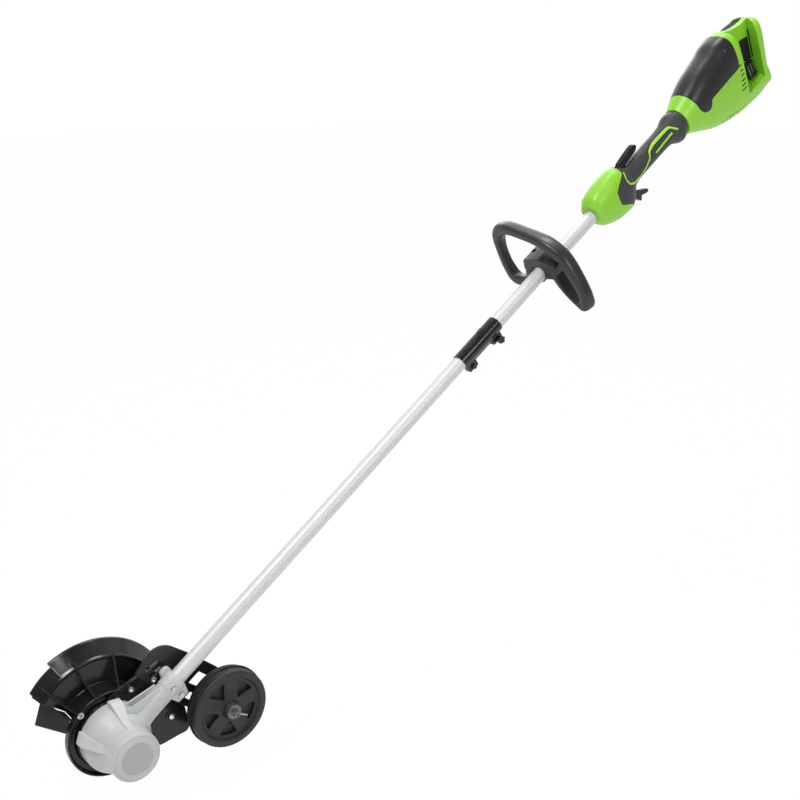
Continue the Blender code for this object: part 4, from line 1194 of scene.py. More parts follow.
@dataclass
class FrontBody(Assembly):
    """The green front cover, the grip with its inlays, the collar and the hand controls."""

    wall: float = 3.0
    tube: float = 13.0
    end: float = 1464.0
    # How much wider than each inlay the black strip of painted groove shade is.
    groove_shade: float = 2.8
    stations: tuple[tuple[float, ...], ...] = (
        (1197, 20.5, 23, -17, 2.3), (1207, 26, 33, -29, 2.4), (1222, 28, 37, -37, 2.5),
        (1250, 29, 41, -46, 2.6),
        (1276, 28, 42, -49, 2.6), (1291, 25, 37, -45, 2.5), (1300, 21.5, 30, -36, 2.3),
        (1309, 19, 24, -26, 2.1),
        (1324, 18, 21, -21, 2.0), (1400, 18, 20, -20, 2.0), (1430, 19, 21, -21.5, 2.0),
        (1443, 23, 24, -28, 2.0),
        (1453, 26.5, 27, -33.5, 2.0), (1460, 27, 27.5, -34.5, 2.0), (1464, 26, 26.5, -33, 2.0),
    )
    grip: tuple[Flat, ...] = (
        (1500, 60), (1290, 60), (1286, 30), (1273, 25), (1260, 19), (1251, 13), (1249, 1), (1249, -12),
        (1262, -22),
        (1276, -31.5), (1284, -70), (1500, -70),
    )
    accent: tuple[Flat, ...] = (
        (1446.5, 4.7), (1440.8, 11.2), (1436.9, 16.3), (1410.7, 15.8), (1384.4, 15.6), (1368.4, 12.2),
        (1362, 3.7),
        (1344, -5.2), (1327, -10.4), (1303, -7), (1287, 4.1), (1283, 16.7), (1290, 28.8),
    )
    bar: tuple[Flat, ...] = ((1434, 5.1), (1407, 3), (1380, 1.2))

    def sections(self, inset: float) -> list[list[Spot]]:
        """The body's sections from the nose to the collar, at an inset from the skin."""
        rows = list(self.stations)
        if inset:
            rows[0] = (1200, 22.5, 26, -20, 2.3)
            rows[-1] = (self.end + 2, 26, 26.5, -33, 2.0)
        fine = [*Outline.graded(rows[:2], 6)[:-1], *Outline.graded(rows[1:], 6)]
        return [
            Outline.oval(along, wide - inset, top - inset, low + inset, power, 56)
            for along, wide, top, low, power in fine
        ]

    def build(self) -> None:
        """Builds the shells, the collar, the inlays and the controls."""
        shell = Stock.worked(Stock.loft(self.sections(0)), Stock.loft(self.sections(self.wall)), Job.CUT)
        shell = Stock.chain(
            shell, Job.CUT, Stock.rod(self.tube, (0, 0, 1150), (0, 0, 1250)),
            Stock.rod(12, (0, 0, 1440), (0, 0, 1480)),
        )
        outline = Outline.rounded(self.grip, 1.6)
        cover = Stock.worked(shell, Stock.plate([Outline.grown(outline, 0.8)], -80, 80), Job.CUT)
        grip = Stock.worked(shell, Stock.plate([outline], -80, 80), Job.KEEP)
        openings = Stock.together(
            Stock.block((-5.5, 5.5), (-60, -18), (1290, 1326)), Stock.block((-6, 6), (14, 60), (1289, 1314)),
        )
        grip = Stock.worked(grip, openings, Job.CUT)
        for side, word in ((Side.LEFT, "left"), (Side.RIGHT, "right")):
            x = (0.1, 90) if side is Side.LEFT else (-90, -0.1)
            half = Stock.block(x, (-200, 200), (1100, 1800))
            even(
                shown(
                    f"nose_cover_{word}", Stock.worked(cover, half, Job.KEEP), GREEN, "tool_frame",
                    [f"front_cover_{word}"],
                )
            )
            even(
                shown(
                    f"grip_shell_{word}", Stock.worked(grip, half, Job.KEEP), GRIP_GREY, "tool_frame",
                    [f"grip_{word}"],
                )
            )
        self.build_inlays()
        collar = [(9, 1473.6), (24.5, 1473.6), (25, 1472.8), (25, 1465.2), (24.5, 1464.3), (9, 1464.3)]
        shown(
            "collar", Stock.lathe(Outline.rounded(collar, 0.5), Axis.SHAFT), GRIP_GREY, "tool_frame",
            ["grip_collar"],
        )
        self.build_controls()

    def build_inlays(self) -> None:
        """Lays the green line and the green bar onto the grip's skin on each side, each on a wider black strip that
        stands in for the shade of a groove round it (painted shade).
        """
        rows = Outline.graded(self.stations, 3)

        def laid(along: float, up: float) -> Spot:
            return (Outline.half_width(rows, along, up), up, along)

        for name, path, width in (("line", self.accent, 4.4), ("bar", self.bar, 5.2)):
            dense = Outline.rounded(path, 4, 4, closed=False)
            for side in Side:
                strip = Stock.ribbon(dense, width, laid, 0.5)
                # The wider black strip under each inlay is painted shade, standing in for the shadow of a groove
                # round it.
                groove_shade = Stock.ribbon(dense, width + self.groove_shade, laid, 0.22)
                if side is Side.RIGHT:
                    for mesh in (strip, groove_shade):
                        mesh.transform(Matrix.Diagonal((-1, 1, 1, 1)))
                        mesh.flip_normals()
                shown(f"inlay_{name}_{side.name.lower()}", strip, ACCENT, "tool_frame", sharp=50)
                shown(f"groove_{name}_{side.name.lower()}", groove_shade, MATT_BLACK, "tool_frame", sharp=50)

    def build_controls(self) -> None:
        """Builds the trigger and the lock-out lever."""
        trigger = [
            (1294, -22), (1306, -24), (1311, -31), (1320, -39), (1339, -50), (1341, -55), (1336, -57),
            (1320, -51),
            (1317, -58), (1313, -59), (1309, -51), (1296, -40),
        ]
        mesh = Stock.plate([Outline.rounded(trigger, 2.5)], -4.5, 4.5)
        softened(shown("trigger_blade", mesh, SATIN_BLACK, "throttle", ["trigger"]), 1.2, 3)
        lever = [
            (1293, 19), (1303, 19), (1309, 25), (1326, 27), (1348, 30), (1354, 34.5), (1354, 40), (1347, 43),
            (1319, 39.5),
            (1301, 36), (1293, 30),
        ]
        mesh = Stock.plate([Outline.rounded(lever, 4)], -5, 5)
        softened(shown("lever_blade", mesh, MATT_BLACK, "lockout", ["lockout_lever"]), 1.5, 3)


@dataclass
class AssistLoop(Assembly):
    """The closed loop handle with its saddle and clamp block."""

    along: float = 1056.0
    slope: float = 0.24
    roll: float = math.radians(5.7)
    block: Flat = (-17, 19)
    bolt_along: float = 8.0
    bolt_sides: Flat = (-28.5, 31)
    lid: tuple[Flat, ...] = (
        (-35.2, 2.4), (-35.2, 20.8), (-17, 25.2), (1, 28), (20, 25.6), (40, 21.6), (40, 2.4),
    )
    saddle: tuple[Flat, ...] = (
        (-34, 1.3), (-34, -20), (-22, -24), (-5, -20.5), (3, -15.8), (9.5, -12.5), (15.2, -5.5), (36, -1.5),
        (38, 1.3),
    )
    beside: tuple[Flat, ...] = ((12, 1.3), (12, 14), (45, 14), (45, 1.3))
    bar: tuple[tuple[float, ...], ...] = (
        (-29, -20, -29, -4, 10.5), (-50, -39, -49, -20, 10.5), (-75.8, -42.4, -71.6, -23.2, 10.8),
        (-92.6, -33.4, -80.8, -18.1, 11), (-100.2, -19.2, -85, -11.8, 10.8), (-106.8, -0.3, -91.2, 3.5, 10),
        (-110.4, 24, -94.4, 25, 10), (-110.8, 45.1, -93, 42.9, 11), (-108, 61.7, -89, 51.3, 11.7),
        (-96.2, 76.7, -82.8, 56.9, 12.2), (-78.7, 81.9, -75.3, 60.1, 12.7), (-58.9, 81.1, -61.1, 61.7, 13),
        (-26.2, 73.9, -29.8, 56.7, 13.5), (-0.1, 68.3, -4.9, 50.9, 13.7), (28.8, 59.6, 20, 41.6, 14.4),
        (55.9, 42.4, 42.5, 26.8, 14.2), (72, 22, 55.4, 12, 13.6), (84.3, -6.8, 67.5, -13.4, 13.2),
        (91.9, -32.2, 75.7, -36.8, 13), (93.6, -50, 77.8, -48.5, 13.6), (93.2, -58.5, 77.4, -52.6, 14),
        (90, -67, 76.3, -54.2, 14.4), (82, -69.5, 74.2, -54.4, 14.4), (73.4, -65.2, 70, -52.4, 13.6),
        (50.8, -47, 55.5, -38.8, 13), (37.2, -32.5, 46, -25.6, 13), (28.6, -21, 39.8, -12, 13),
        (22, -10, 37, 0, 13),
    )

    def leaning(self, side: float, height: float, along: float = 0.0) -> Spot:
        """A spot given across and up in the loop's own axes, whose plane leans rearwards as it rises."""
        x = side * math.cos(self.roll) + height * math.sin(self.roll)
        up = height * math.cos(self.roll) - side * math.sin(self.roll)
        return (x, up, self.along + along + self.slope * up)

    def clamp_half(self, outline: Sequence[Flat]) -> Mesh:
        """One half of the clamp, from its outline in the loop's axes."""
        rounded = Outline.rounded(outline, 2.5, 3)
        return Stock.loft(
            [[self.leaning(side, height, along) for side, height in rounded] for along in self.block], True,
        )

    def bar_section(self, row: Sequence[float]) -> list[Spot]:
        """A rounded box across the bar, from its two edges in the leaning plane and its half depth."""
        outer_x, outer_rise, inner_x, inner_rise, depth = row
        slant = math.hypot(1, self.slope)
        middle_x, middle_rise = (outer_x + inner_x) / 2, (outer_rise + inner_rise) / 2
        section = []
        for i in range(32):
            angle = 2 * math.pi * (i + 0.5) / 32
            out = math.copysign(abs(math.cos(angle)) ** 0.66, math.cos(angle))
            back = math.copysign(abs(math.sin(angle)) ** 0.66, math.sin(angle)) * depth
            x = middle_x + out * (outer_x - middle_x)
            rise = middle_rise + out * (outer_rise - middle_rise)
            up = (rise - back * self.slope) / slant
            section.append((x, up, self.along + (rise * self.slope + back) / slant))
        return section

    def smooth_rows(self) -> list[list[float]]:
        """The bar's rows with four steps between each two, on a smooth curve through them."""
        rows = self.bar
        made: list[list[float]] = []
        for i in range(len(rows) - 1):
            a, b, c, d = rows[max(0, i - 1)], rows[i], rows[i + 1], rows[min(len(rows) - 1, i + 2)]
            for step in range(4):
                t = step / 4
                made.append([
                    q + 0.5 * t * (r - p + t * (2 * p - 5 * q + 4 * r - s + t * (3 * (q - r) + s - p)))
                    for p, q, r, s in zip(a, b, c, d)
                ])
        made.append(list(rows[-1]))
        return made

    def build(self) -> None:
        """Builds the loop, the block and their bolts."""
        bar = Stock.loft([self.bar_section(row) for row in self.smooth_rows()])
        place = [[self.leaning(side, height, along) for side, height in self.beside] for along in (-30, 30)]
        circle = [(17.5 * math.cos(math.pi * i / 24), 17.5 * math.sin(math.pi * i / 24)) for i in range(48)]
        mouth = [
            [self.leaning(side, height, self.block[0] + along) for side, height in circle]
            for along in (-6, 1.4)
        ]
        cuts = (Stock.rod(13, (0, 0, 1000), (0, 0, 1120), 48), Stock.loft(mouth))
        loop = Stock.worked(
            Stock.worked(bar, self.clamp_half(self.saddle), Job.JOIN), Stock.loft(place), Job.CUT,
        )
        loop = Stock.chain(loop, Job.CUT, *cuts)
        lid = Stock.chain(self.clamp_half(self.lid), Job.CUT, *cuts)
        for side in self.bolt_sides:
            seat, high, low = [self.leaning(side, height, self.bolt_along) for height in (14.5, 45, -10)]
            lid = Stock.chain(lid, Job.CUT, Stock.rod(4.7, seat, high, 24), Stock.rod(2.8, low, high, 16))
            loop = Stock.worked(
                loop, Stock.rod(2.8, low, self.leaning(side, 8, self.bolt_along), 16), Job.CUT,
            )
        even(shown("loop_handle", loop, HANDLE_GREY, "front_handle", ["assist_loop"], 40))
        even(softened(shown("loop_block", lid, HANDLE_GREY, "front_handle", ["loop_clamp"]), 0.9, 3, 50))
        for node in ("loop_bolt_left", "loop_bolt_right"):
            self.dress(node, STEEL, 0.3)


@dataclass
class ShaftLine(Assembly):
    """The two tubes with their drive shafts, and the black coupler between them."""

    start: float = 812.0
    end: float = 912.0
    radius: float = 14.6
    tube: float = 12.7
    tubes: dict[str, Flat] = field(
        default_factory=lambda: {"lower_tube": (64, 863.7), "upper_tube": (864, 1292)}
    )

    def build(self) -> None:
        """Builds the coupler and the tubes, and dresses what turns inside them."""
        profile = [(13, self.end), (self.radius, self.end), (self.radius, self.start), (13, self.start)]
        sleeve = Stock.lathe(Outline.rounded(profile, 1.2, 3), Axis.SHAFT)
        lugs = (
            Stock.block((-7, 7), (-26, -13.3), (884, 908), 2),
            Stock.block((-7, 7), (-27.5, -13.3), (817, 839), 2),
            Stock.block((-4, 4), (13.7, 16), (872, 884), 0.9),
            Stock.block((-4, 4), (-18, -13.2), (830, 890), 0.8),
        )
        sleeve = Stock.chain(sleeve, Job.JOIN, *lugs)
        cuts = (
            Stock.block((-0.8, 0.8), (-30, -12), (800, 930)),
            Stock.rod(3.3, (-30, -20.5, 896), (30, -20.5, 896), 20),
            Stock.rod(2.8, (-30, -22, 828), (30, -22, 828), 20),
        )
        sleeve = Stock.chain(sleeve, Job.CUT, *cuts)
        even(shown("coupler_body", sleeve, GLOSS_BLACK, "tool_frame", ["coupler_sleeve"]))
        lobes = []
        for i in range(80):
            angle = 2 * math.pi * i / 80
            reach = 7.2 + 0.6 * (math.cos(5 * angle) - 1)
            lobes.append((896 + reach * math.cos(angle), -20.5 + reach * math.sin(angle)))
        knob = Stock.rod(3, (-11, -20.5, 896), (18, -20.5, 896), 20)
        neck = Stock.rod(4.6, (7.4, -20.5, 896), (14, -20.5, 896), 32)
        knob = Stock.chain(knob, Job.JOIN, neck, Stock.plate([lobes], 12.1, 18.5))
        softened(shown("lobed_knob", knob, SATIN_BLACK, "clamp_knob", ["coupler_knob"]), 0.7)
        self.dress("coupler_bolt", COATED, 0.3)
        for node, (first, last) in self.tubes.items():
            wall = [(self.tube - 1.6, first), (self.tube, first), (self.tube, last), (self.tube - 1.6, last)]
            shown(f"{node}_skin", Stock.lathe(wall, Axis.SHAFT, steps=96), TUBE, "tool_frame", [node])
        for node in ("lower_drive_shaft", "upper_drive_shaft", "shaft_socket"):
            self.dress(node, STEEL, 0.25)
        for node in ("shaft_bush_1", "shaft_bush_2"):
            self.dress(node, NYLON, 0.3)


@dataclass
class GearHead(Assembly):
    """The silver gear case on the tube's end, with the blade's spindle."""

    radius: float = 38.0
    end: float = 61.0
    back: float = -26.7

    def rib(self, angle: float) -> Mesh:
        """A raised rib over the cone of the case, at an angle about the blade's axis."""
        points = Outline.rounded(
            [(34, 44), (38.2, 42), (41, 27), (58, -2), (59.5, -8), (59.5, -20), (34, -22)], 2, 3,
        )
        sides = [
            [(x, side * min(9.0, 3.5 + 0.13 * (42 - x)), radius) for radius, x in points]
            for side in (-1, 1)
        ]
        return Stock.turned(sides, angle)

    def build(self) -> None:
        """Builds the case and its cap, and dresses the working parts."""
        outer = [
            (0, self.end - 2.4), (self.radius - 3.5, self.end - 2.4), (self.radius - 1, self.end - 4),
            (self.radius, self.end - 6.5),
            (self.radius + 0.5, 32), (41, 22), (51, 0), (52.5, -6), (52.5, self.back), (0, self.back),
        ]
        case = Stock.lathe(Outline.rounded(outer, 3, 4, closed=False), Axis.ACROSS, steps=96)
        rows = [
            (28, 26, 25, -22, 2.4), (44, 18, 18.3, -17.2, 2.2), (56, 16, 16.4, -15.9, 2.1),
            (97, 15.8, 16.1, -15.8, 2.0),
            (99, 16.9, 17.2, -17.2, 2.0), (122, 16.9, 17.2, -17.2, 2.0),
        ]
        fine = Outline.graded(rows, 5)
        neck = Stock.loft(
            [Outline.oval(along, wide, top, low, power, 48) for along, wide, top, low, power in fine]
        )
        fin = Outline.rounded([(26, 34), (42, 33), (92, 17), (92, 8), (26, 8)], 1.5)
        fins = [Stock.plate([fin], low, high) for low, high in ((6, 9), (-9, -6))]
        ear = Stock.plate(
            [Outline.rounded([(104, 10), (124, 10), (124, 19), (118, 23), (109, 22)], 2)], -14, -6,
        )
        lug = Stock.plate([Outline.rounded([(92, -12), (122, -12), (117, -28), (97, -28)], 2.5)], -9, 9)
        case = Stock.chain(
            case, Job.JOIN, neck, self.rib(52), self.rib(126), *fins, ear, lug,
            Stock.rod(5.5, (12, 4, 106), (18, 4, 106)),
        )
        cavity = [(13, 35), (34, 35), (34, 70), (0, 70), (0, -30), (45, -30), (45, -6), (33, 20), (13, 20)]
        cuts = (
            Stock.lathe(cavity, Axis.ACROSS, steps=64), Stock.rod(13, (0, 0, 63.7), (0, 0, 140), 48),
            Stock.rod(11, (0, 0, 36), (0, 0, 70)), Stock.rod(7.5, (0, 0, 5), (0, 0, 50)),
            Stock.block((-0.8, 0.8), (-40, -8), (88, 140)),
            Stock.rod(2.8, (-30, -21.5, 107), (30, -21.5, 107), 20),
            Stock.rod(2.3, (5, 4, 106), (30, 4, 106), 20),
        )
        case = Stock.chain(case, Job.CUT, *cuts)
        even(softened(shown("silver_case", case, CASTING, "tool_frame", ["gear_case"]), 0.8, 2, 40))
        cap = [(0, 60.2), (24.8, 60.2), (26, 61), (27.2, 61), (33.9, 58.8), (33.9, 54), (0, 54)]
        shown(
            "case_cap", Stock.lathe(Outline.rounded(cap, 0.8, 3, closed=False), Axis.ACROSS, steps=96),
            CASTING, "tool_frame", ["gear_case_cap"],
        )
        face = Stock.lathe([(0, 60.4), (24.2, 60.4), (24.2, 60.1), (0, 60.1)], Axis.ACROSS, steps=96)
        shown("cap_face", face, DULL_CASTING, "tool_frame")
        self.dress("bearing_plate", CASTING, 0.4)
        working = (
            "pinion", "crown_gear", "spindle_bearing_inner", "spindle_bearing_outer", "pinion_bearing", "clamp_bolt",
            "locating_screw", "blade_spindle", "inner_flange", "outer_flange", "blade_nut", "edger_blade",
        )
        for node in working:
            self.dress(node, STEEL, 0.2 if "gear" in node or node == "pinion" else 0.35)


@dataclass
class BladeGuard(Assembly):
    """The ribbed black guard with its rubber flap and fixings."""

    hub: float = 69.0
    hub_x: float = -27.0
    ridge: float = 107.0
    ridge_x: float = -70.0
    rim: float = 126.0
    rim_x: float = -96.0
    step: float = 117.0
    step_angle: float = 85.0
    plate_x: float = -62.0
    wall: float = 3.0
    front: float = 108.0
    rear: float = -62.0
    ribs: tuple[float, ...] = (100, 72, 40, 8)
    webs: tuple[tuple[Flat, ...], ...] = (
        ((-61.4, 69.6), (-28, 69.6), (-28, 76), (-61.4, 88)),
        ((-60.8, 84), (-94, 94), (-92, 113), (-65.6, 103.6)),
    )
    screws: tuple[Flat, ...] = ((64, 30), (96, 14), (75, -62))
    tab: tuple[Flat, ...] = (
        (30, 50), (60, 44), (100, 30), (112, 8), (104, -8), (104, -60), (84, -104), (75, -107), (62, -100),
        (30, -85),
        (30, -50),
    )

    def wall_profile(self) -> list[Flat]:
        """The guard's wall from the hub face out to the band."""
        rim, wall = self.rim, self.wall
        corners = [
            (12, self.hub_x), (54, self.hub_x), (56, self.hub_x - 8), (64.5, self.hub_x - 8),
            (66, self.hub_x),
            (self.hub, self.hub_x), (self.hub, self.plate_x), (self.ridge - 4, self.plate_x - 4),
            (self.ridge, self.plate_x - 3), (self.ridge + 2, self.ridge_x + 1), (rim, self.rim_x + 4),
            (rim, self.rim_x),
            (rim - wall, self.rim_x), (rim - wall - 0.5, self.rim_x + 4), (self.ridge - 1, self.ridge_x),
            (self.hub - wall, self.plate_x - wall), (self.hub - wall, self.hub_x - 11), (12, self.hub_x - 11),
        ]
        return Outline.rounded(corners, 1.4, 3)

    def rib(self, angle: float) -> Mesh:
        """A gusset from the drum to the ridge and on over the band."""
        outline = [
            (self.hub - 2, self.plate_x - 1.5), (self.hub - 2, self.hub_x - 3),
            (self.hub + 1, self.hub_x - 3),
            (self.ridge + 3, self.ridge_x + 5), (self.step + 0.8, self.rim_x + 12),
            (self.step - 2, self.rim_x + 12),
            (self.ridge, self.plate_x - 4.5),
        ]
        return Stock.turned([[(x, offset, radius) for radius, x in outline] for offset in (-1.6, 1.6)], angle)

    @staticmethod
    def web(corners: Sequence[Flat], degrees: float) -> list[Spot]:
        """The loop of one web of the flap's root, at an angle about the blade's axis."""
        turn = math.radians(degrees)
        return [(x, reach * math.sin(turn), reach * math.cos(turn)) for x, reach in corners]

    def build(self) -> None:
        """Builds the guard and its flap, and dresses the fixings."""
        guard = Stock.lathe(self.wall_profile(), Axis.ACROSS, steps=120)
        guard = Stock.worked(
            guard, Stock.plate([Outline.sector(self.step_angle, 130, self.ridge + 3, 150)], -120, -40),
            Job.CUT,
        )
        low_band = [
            (self.ridge - 2, self.ridge_x + 1), (self.ridge + 2.5, self.ridge_x + 1.5),
            (self.step, self.rim_x + 4),
            (self.step, self.rim_x + 0.5), (self.step - self.wall, self.rim_x + 0.5),
            (self.step - self.wall - 0.5, self.rim_x + 4), (self.ridge + 0.5, self.ridge_x - 1),
        ]
        band = Stock.lathe(low_band, Axis.ACROSS, steps=116)
        band = Stock.worked(
            band, Stock.plate([Outline.sector(self.step_angle - 1, 130, 101, 150)], -120, -40), Job.KEEP,
        )
        guard = Stock.chain(guard, Job.JOIN, band, *[self.rib(angle) for angle in self.ribs])
        first, last = self.front, 360 + self.rear
        guard = Stock.chain(
            guard, Job.CUT, Stock.plate([Outline.sector(first, last, self.hub + 0.4, 200)], -120, 0),
            Stock.plate([Outline.sector(first, last, 20, 200)], -120, self.hub_x - 10.6),
        )
        tab = Stock.plate([Outline.rounded(self.tab, 7)], self.hub_x - 5.4, self.hub_x - 0.4)
        holes = [Stock.rod(2.8, (-60, up, along), (0, up, along), 20) for along, up in self.screws]
        holes.append(Stock.rod(2.2, (-60, 64, -10), (0, 64, -10), 20))
        seat = [(5.8, -4), (5.8, 1.8), (8.4, 1.8), (9.4, 0.8), (9.4, -4)]
        along, up = self.screws[2]
        boss = Stock.lathe([(radius, self.hub_x + x) for radius, x in seat], Axis.ACROSS, (0, up, along), 40)
        guard = Stock.chain(guard, Job.JOIN, tab, boss)
        guard = Stock.worked(guard, Stock.together(*holes), Job.CUT)
        even(shown("guard_shell", guard, GUARD_BLACK, "tool_frame", ["blade_guard"]))
        flap = [
            (self.rim_x + 1, 91, -30.5), (self.hub_x - 3, 72, -24), (self.hub_x - 3, 61, -41),
            (self.rim_x + 1, 67, -64),
        ]
        sheet = Stock.loft([flap, [(x - 1, up - 2.6, along - 1.2) for x, up, along in flap]])
        roots = [
            Stock.loft([self.web(corners, self.front + turn) for turn in (0.6, 1.8)])
            for corners in self.webs
        ]
        mesh = Stock.together(sheet, *roots)
        softened(shown("rubber_flap", mesh, FLAP_RUBBER, "tool_frame", ["guard_flap"]), 0.5)
        self.build_fixings()

    def build_fixings(self) -> None:
        """Gives each guard screw its socket head, and dresses the rivet."""
        for number, (along, up) in enumerate(self.screws, 1):
            seat = -23.5 if number == 2 else self.hub_x
            low, high = seat + 0.3, seat + 4.3
            profile = [(0, high), (4.6, high), (4.6, low), (2.4, low), (2.4, -38), (0, -38)]
            mesh = Stock.lathe(
                Outline.rounded(profile, 0.9, 3, closed=False), Axis.ACROSS, (0, up, along), 32,
            )
            mesh = Stock.worked(
                mesh, Stock.rod(2.3, (high - 2.4, up, along), (high + 4, up, along), 6), Job.CUT,
            )
            shown(f"socket_screw_{number}", mesh, BRIGHT_STEEL, "tool_frame", [f"guard_screw_{number}"])
        top, seat = self.hub_x + 1.8, self.hub_x + 0.3
        eyelet = [(1.7, -34), (1.7, top), (4.4, top), (5.2, top - 0.8), (5.2, seat), (2.1, seat), (2.1, -34)]
        shown(
            "eyelet", Stock.lathe(eyelet, Axis.ACROSS, (0, 64, -10), 40), BRIGHT_STEEL, "tool_frame",
            ["guard_rivet"],
        )


@dataclass
class GuideWheel(Assembly):
    """The guide wheel on its axle, and the slotted bracket that carries it."""

    up: float = -98.0
    along: float = 141.5
    radius: float = 63.2
    near: float = -0.5
    far: float = 32.0
    hub: float = 38.5
    bore: float = 5.3

    def build(self) -> None:
        """Builds the wheel and bracket, and dresses what holds them."""
        centre = (0, self.up, self.along)
        near, far, rim = self.near, self.far, self.radius
        corners = [
            (self.bore, self.hub), (11, self.hub), (13, self.hub - 2), (15, far - 4), (30, far - 7),
            (49, far - 7),
            (52.5, far - 1), (rim - 2.5, far - 1), (rim, far - 3.5), (rim, near + 4), (rim - 3, near + 1),
            (51, near + 1), (46, near + 8), (17, near + 8), (14, near), (self.bore, near),
        ]
        wheel = Stock.lathe(Outline.rounded(corners, 1.6, 4), Axis.ACROSS, centre, 144)
        grooves = []
        for x in (near + 8, near + 13.5, near + 19, near + 24.5):
            ring = [(rim - 1.0, x - 0.7), (rim + 2, x - 1.3), (rim + 2, x + 1.3), (rim - 1.0, x + 0.7)]
            grooves.append(Stock.lathe(ring, Axis.ACROSS, centre, 144))
        wheel = Stock.chain(wheel, Job.CUT, *grooves, self.pockets())
        even(shown("wheel_body", wheel, WHEEL_RUBBER, "wheel", ["guide_wheel"]))
        self.build_bracket()
        self.dress("wheel_axle", WORN_STEEL, 0.4)
        washer = [(self.bore, 38.9), (self.bore, 40.7), (10.9, 40.7), (11.6, 40.1), (11.6, 38.9)]
        shown(
            "plain_washer", Stock.lathe(washer, Axis.ACROSS, centre, 48), WORN_STEEL, "depth_bracket",
            ["axle_washer"],
        )
        self.dress("split_pin", STEEL, 0.1)

    def pockets(self) -> Mesh:
        """The pockets between the hub's spokes."""
        tools = []
        middle = (self.along, self.up)
        for i in range(5):
            angle = 72 * i + 12
            outline = Outline.arc(
                45, angle - 20, angle + 20, 10, middle,
            ) + Outline.arc(21, angle + 4, angle - 4, 2, middle)
            tools.append(Stock.plate([Outline.rounded(outline, 1.0, 3)], self.far - 14, self.far + 5))
        return Stock.together(*tools)

    def build_bracket(self) -> None:
        """Builds the slotted sheet-steel bracket."""
        outline = [
            (82, 44), (112, 50), (124, 52), (138, 46), (148, 34), (161, -6), (176, -66), (172, -112),
            (150, -130),
            (124, -122), (108, -96), (98, -62), (96, -34), (90, -12),
        ]
        holes = [
            Outline.rounded([(128, -42), (151, -42), (156, -62), (134, -62)], 2),
            Outline.rounded([(108, -56), (120, -56), (124, -72), (112, -72)], 1.5),
            Outline.arc(self.bore, 0, 350, 35, (self.along, self.up)), Outline.arc(2.8, 0, 345, 23, (96, 14)),
            Outline.slot((100, 34), (118, 30), 2.6), Outline.slot((97, 22), (115, 18), 2.6),
        ]
        mesh = Stock.plate([Outline.rounded(outline, 6), *holes], -27.1, -23.5)
        softened(shown("slotted_bracket", mesh, COATED, "depth_bracket", ["wheel_bracket"]), 0.5)


@dataclass
class MotorWorks(Assembly):
    """What is closed inside the power head: motor, fan, board and switch."""

    def build(self) -> None:
        """Dresses the inner pieces."""
        self.dress("motor_stator", COPPER, 0.3)
        self.dress("motor_rotor", STEEL, 0.3)
        self.dress("motor_plate_front", CASTING, 0.4)
        self.dress("motor_plate_rear", CASTING, 0.4)
        self.dress("cooling_fan", SATIN_BLACK, 0.3)
        self.dress("controller_board", BOARD, 0.2)
        self.dress("trigger_switch", SATIN_BLACK, 0.3)


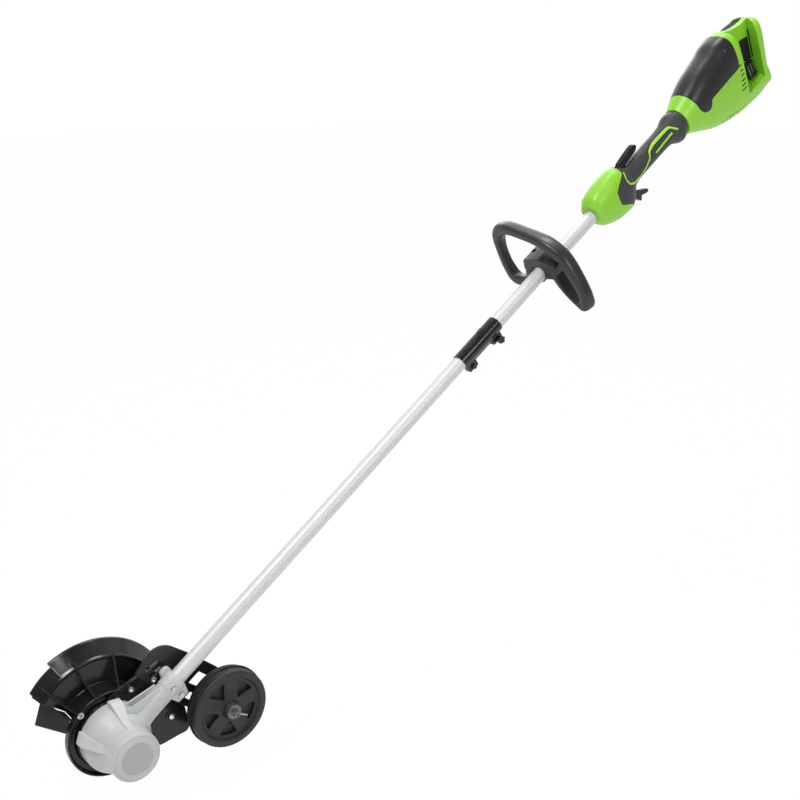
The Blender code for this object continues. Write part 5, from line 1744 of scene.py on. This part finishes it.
@dataclass
class Studio:
    """The plain white studio: camera, lamps and floor."""

    eye: Spot = (1.4472, -1.7342, 0.1264)
    azimuth: float = 51.953
    elevation: float = 15.583
    lens: float = 52.0
    floor_z: float = -0.9135
    room: float = 0.12
    ambient: float = 0.4
    lamps: tuple[tuple[str, Spot, float, float], ...] = field(default=(
        ("key", (0.2, -2.4, 2.6), 1.1, 60.0), ("fill", (3.2, -0.6, 1.4), 1.3, 34.0),
        ("top", (-0.6, 0.2, 3.2), 1.4, 40.0),
        ("rear", (-2.4, 1.4, 1.6), 1.8, 26.0),
    ))

    def set_camera(self) -> None:
        """Stands the camera where the photograph was taken."""
        data = bpy.data.cameras.new("camera")
        data.lens = self.lens
        data.sensor_width = 36
        data.clip_end = 50
        camera = bpy.data.objects.new("camera", data)
        az, el = math.radians(self.azimuth), math.radians(self.elevation)
        look = Vector((-math.sin(az) * math.cos(el), math.cos(az) * math.cos(el), -math.sin(el)))
        camera.location = self.eye
        camera.rotation_euler = look.to_track_quat("-Z", "Y").to_euler()
        bpy.context.scene.collection.objects.link(camera)
        bpy.context.scene.camera = camera

    def seen_white(self, tree: bpy.types.NodeTree) -> bpy.types.NodeSocket:
        """A value that is 1 for rays of the camera, gloss and transmission, and 0 for light on the object."""
        path = tree.nodes.new("ShaderNodeLightPath")
        total: bpy.types.NodeSocket = path.outputs["Is Camera Ray"]
        for name in ("Is Glossy Ray", "Is Transmission Ray"):
            join = tree.nodes.new("ShaderNodeMath")
            join.operation = "MAXIMUM"
            tree.links.new(total, join.inputs[0])
            tree.links.new(path.outputs[name], join.inputs[1])
            total = join.outputs[0]
        return total

    def set_world(self) -> None:
        """Surrounds the object with a white sweep behind it and a dim room on the camera's side."""
        world = bpy.data.worlds.new("studio")
        world.use_nodes = True
        bpy.context.scene.world = world
        tree = world.node_tree
        background = tree.nodes["Background"]
        background.inputs["Color"].default_value = (1, 1, 1, 1)
        where = tree.nodes.new("ShaderNodeTexCoord")
        facing = tree.nodes.new("ShaderNodeVectorMath")
        facing.operation = "DOT_PRODUCT"
        az = math.radians(self.azimuth)
        facing.inputs[1].default_value = (-math.sin(az), math.cos(az), 0)
        tree.links.new(where.outputs["Generated"], facing.inputs[0])
        sweep = tree.nodes.new("ShaderNodeMapRange")
        sweep.interpolation_type = "SMOOTHSTEP"
        for name, value in (("From Min", -0.25), ("From Max", 0.6), ("To Min", self.room), ("To Max", 1.0)):
            sweep.inputs[name].default_value = value
        tree.links.new(facing.outputs["Value"], sweep.inputs["Value"])
        path = tree.nodes.new("ShaderNodeLightPath")
        glossy = tree.nodes.new("ShaderNodeMix")
        glossy.inputs["A"].default_value = self.ambient
        tree.links.new(path.outputs["Is Glossy Ray"], glossy.inputs["Factor"])
        tree.links.new(sweep.outputs["Result"], glossy.inputs["B"])
        clear_ray = tree.nodes.new("ShaderNodeMath")
        clear_ray.operation = "MAXIMUM"
        tree.links.new(path.outputs["Is Camera Ray"], clear_ray.inputs[0])
        tree.links.new(path.outputs["Is Transmission Ray"], clear_ray.inputs[1])
        strength = tree.nodes.new("ShaderNodeMix")
        strength.inputs["B"].default_value = 1.0
        tree.links.new(clear_ray.outputs[0], strength.inputs["Factor"])
        tree.links.new(glossy.outputs["Result"], strength.inputs["A"])
        tree.links.new(strength.outputs["Result"], background.inputs["Strength"])

    def set_lamps(self) -> None:
        """Hangs large soft lamps that face the middle of the tool."""
        middle = Vector((0, -0.45, -0.3))
        for name, spot, size, power in self.lamps:
            data = bpy.data.lights.new(name, "AREA")
            data.shape = "DISK"
            data.size = size
            data.energy = power
            lamp = bpy.data.objects.new(name, data)
            lamp.location = spot
            lamp.rotation_euler = (middle - Vector(spot)).to_track_quat("-Z", "Y").to_euler()
            bpy.context.scene.collection.objects.link(lamp)

    def lay_floor(self) -> None:
        """Lays a white floor that keeps a faint shadow."""
        bm = bmesh.new()
        bmesh.ops.create_grid(bm, x_segments=1, y_segments=1, size=20)
        mesh = bpy.data.meshes.new("floor")
        bm.to_mesh(mesh)
        bm.free()
        floor = bpy.data.objects.new("floor", mesh)
        floor.location = (0, 0, self.floor_z)
        made = bpy.data.materials.new("studio_floor")
        made.use_nodes = True
        tree = made.node_tree
        shader = tree.nodes["Principled BSDF"]
        shader.inputs["Base Color"].default_value = (0.9, 0.9, 0.9, 1)
        shader.inputs["Roughness"].default_value = 0.9
        shader.inputs["Specular IOR Level"].default_value = 0.1
        glow = tree.nodes.new("ShaderNodeEmission")
        glow.inputs["Color"].default_value = (1, 1, 1, 1)
        share = tree.nodes.new("ShaderNodeMapRange")
        share.inputs["To Min"].default_value = 0.0
        share.inputs["To Max"].default_value = 0.982
        tree.links.new(self.seen_white(tree), share.inputs["Value"])
        mix = tree.nodes.new("ShaderNodeMixShader")
        tree.links.new(share.outputs["Result"], mix.inputs[0])
        tree.links.new(shader.outputs["BSDF"], mix.inputs[1])
        tree.links.new(glow.outputs["Emission"], mix.inputs[2])
        tree.links.new(mix.outputs["Shader"], tree.nodes["Material Output"].inputs["Surface"])
        mesh.materials.append(made)
        bpy.context.scene.collection.objects.link(floor)

    def build(self) -> None:
        """Sets up the whole studio."""
        self.set_camera()
        self.set_world()
        self.set_lamps()
        self.lay_floor()
        bpy.context.scene.view_settings.view_transform = "Standard"


def clear() -> None:
    """Empties the scene that the script starts in."""
    for obj in list(bpy.data.objects):
        bpy.data.objects.remove(obj, do_unlink=True)


def main() -> None:
    """Builds every assembly round the frame."""
    logging.basicConfig(level=logging.INFO, format="%(message)s")
    clear()
    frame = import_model()
    Studio().build()
    kinds: Sequence[Callable[..., Assembly]] = (
        PowerHead, FrontBody, AssistLoop, ShaftLine, GearHead, BladeGuard, GuideWheel, MotorWorks,
    )
    for kind in kinds:
        kind(frame).build()
    bpy.context.view_layer.update()


if __name__ == "__main__":
    main()
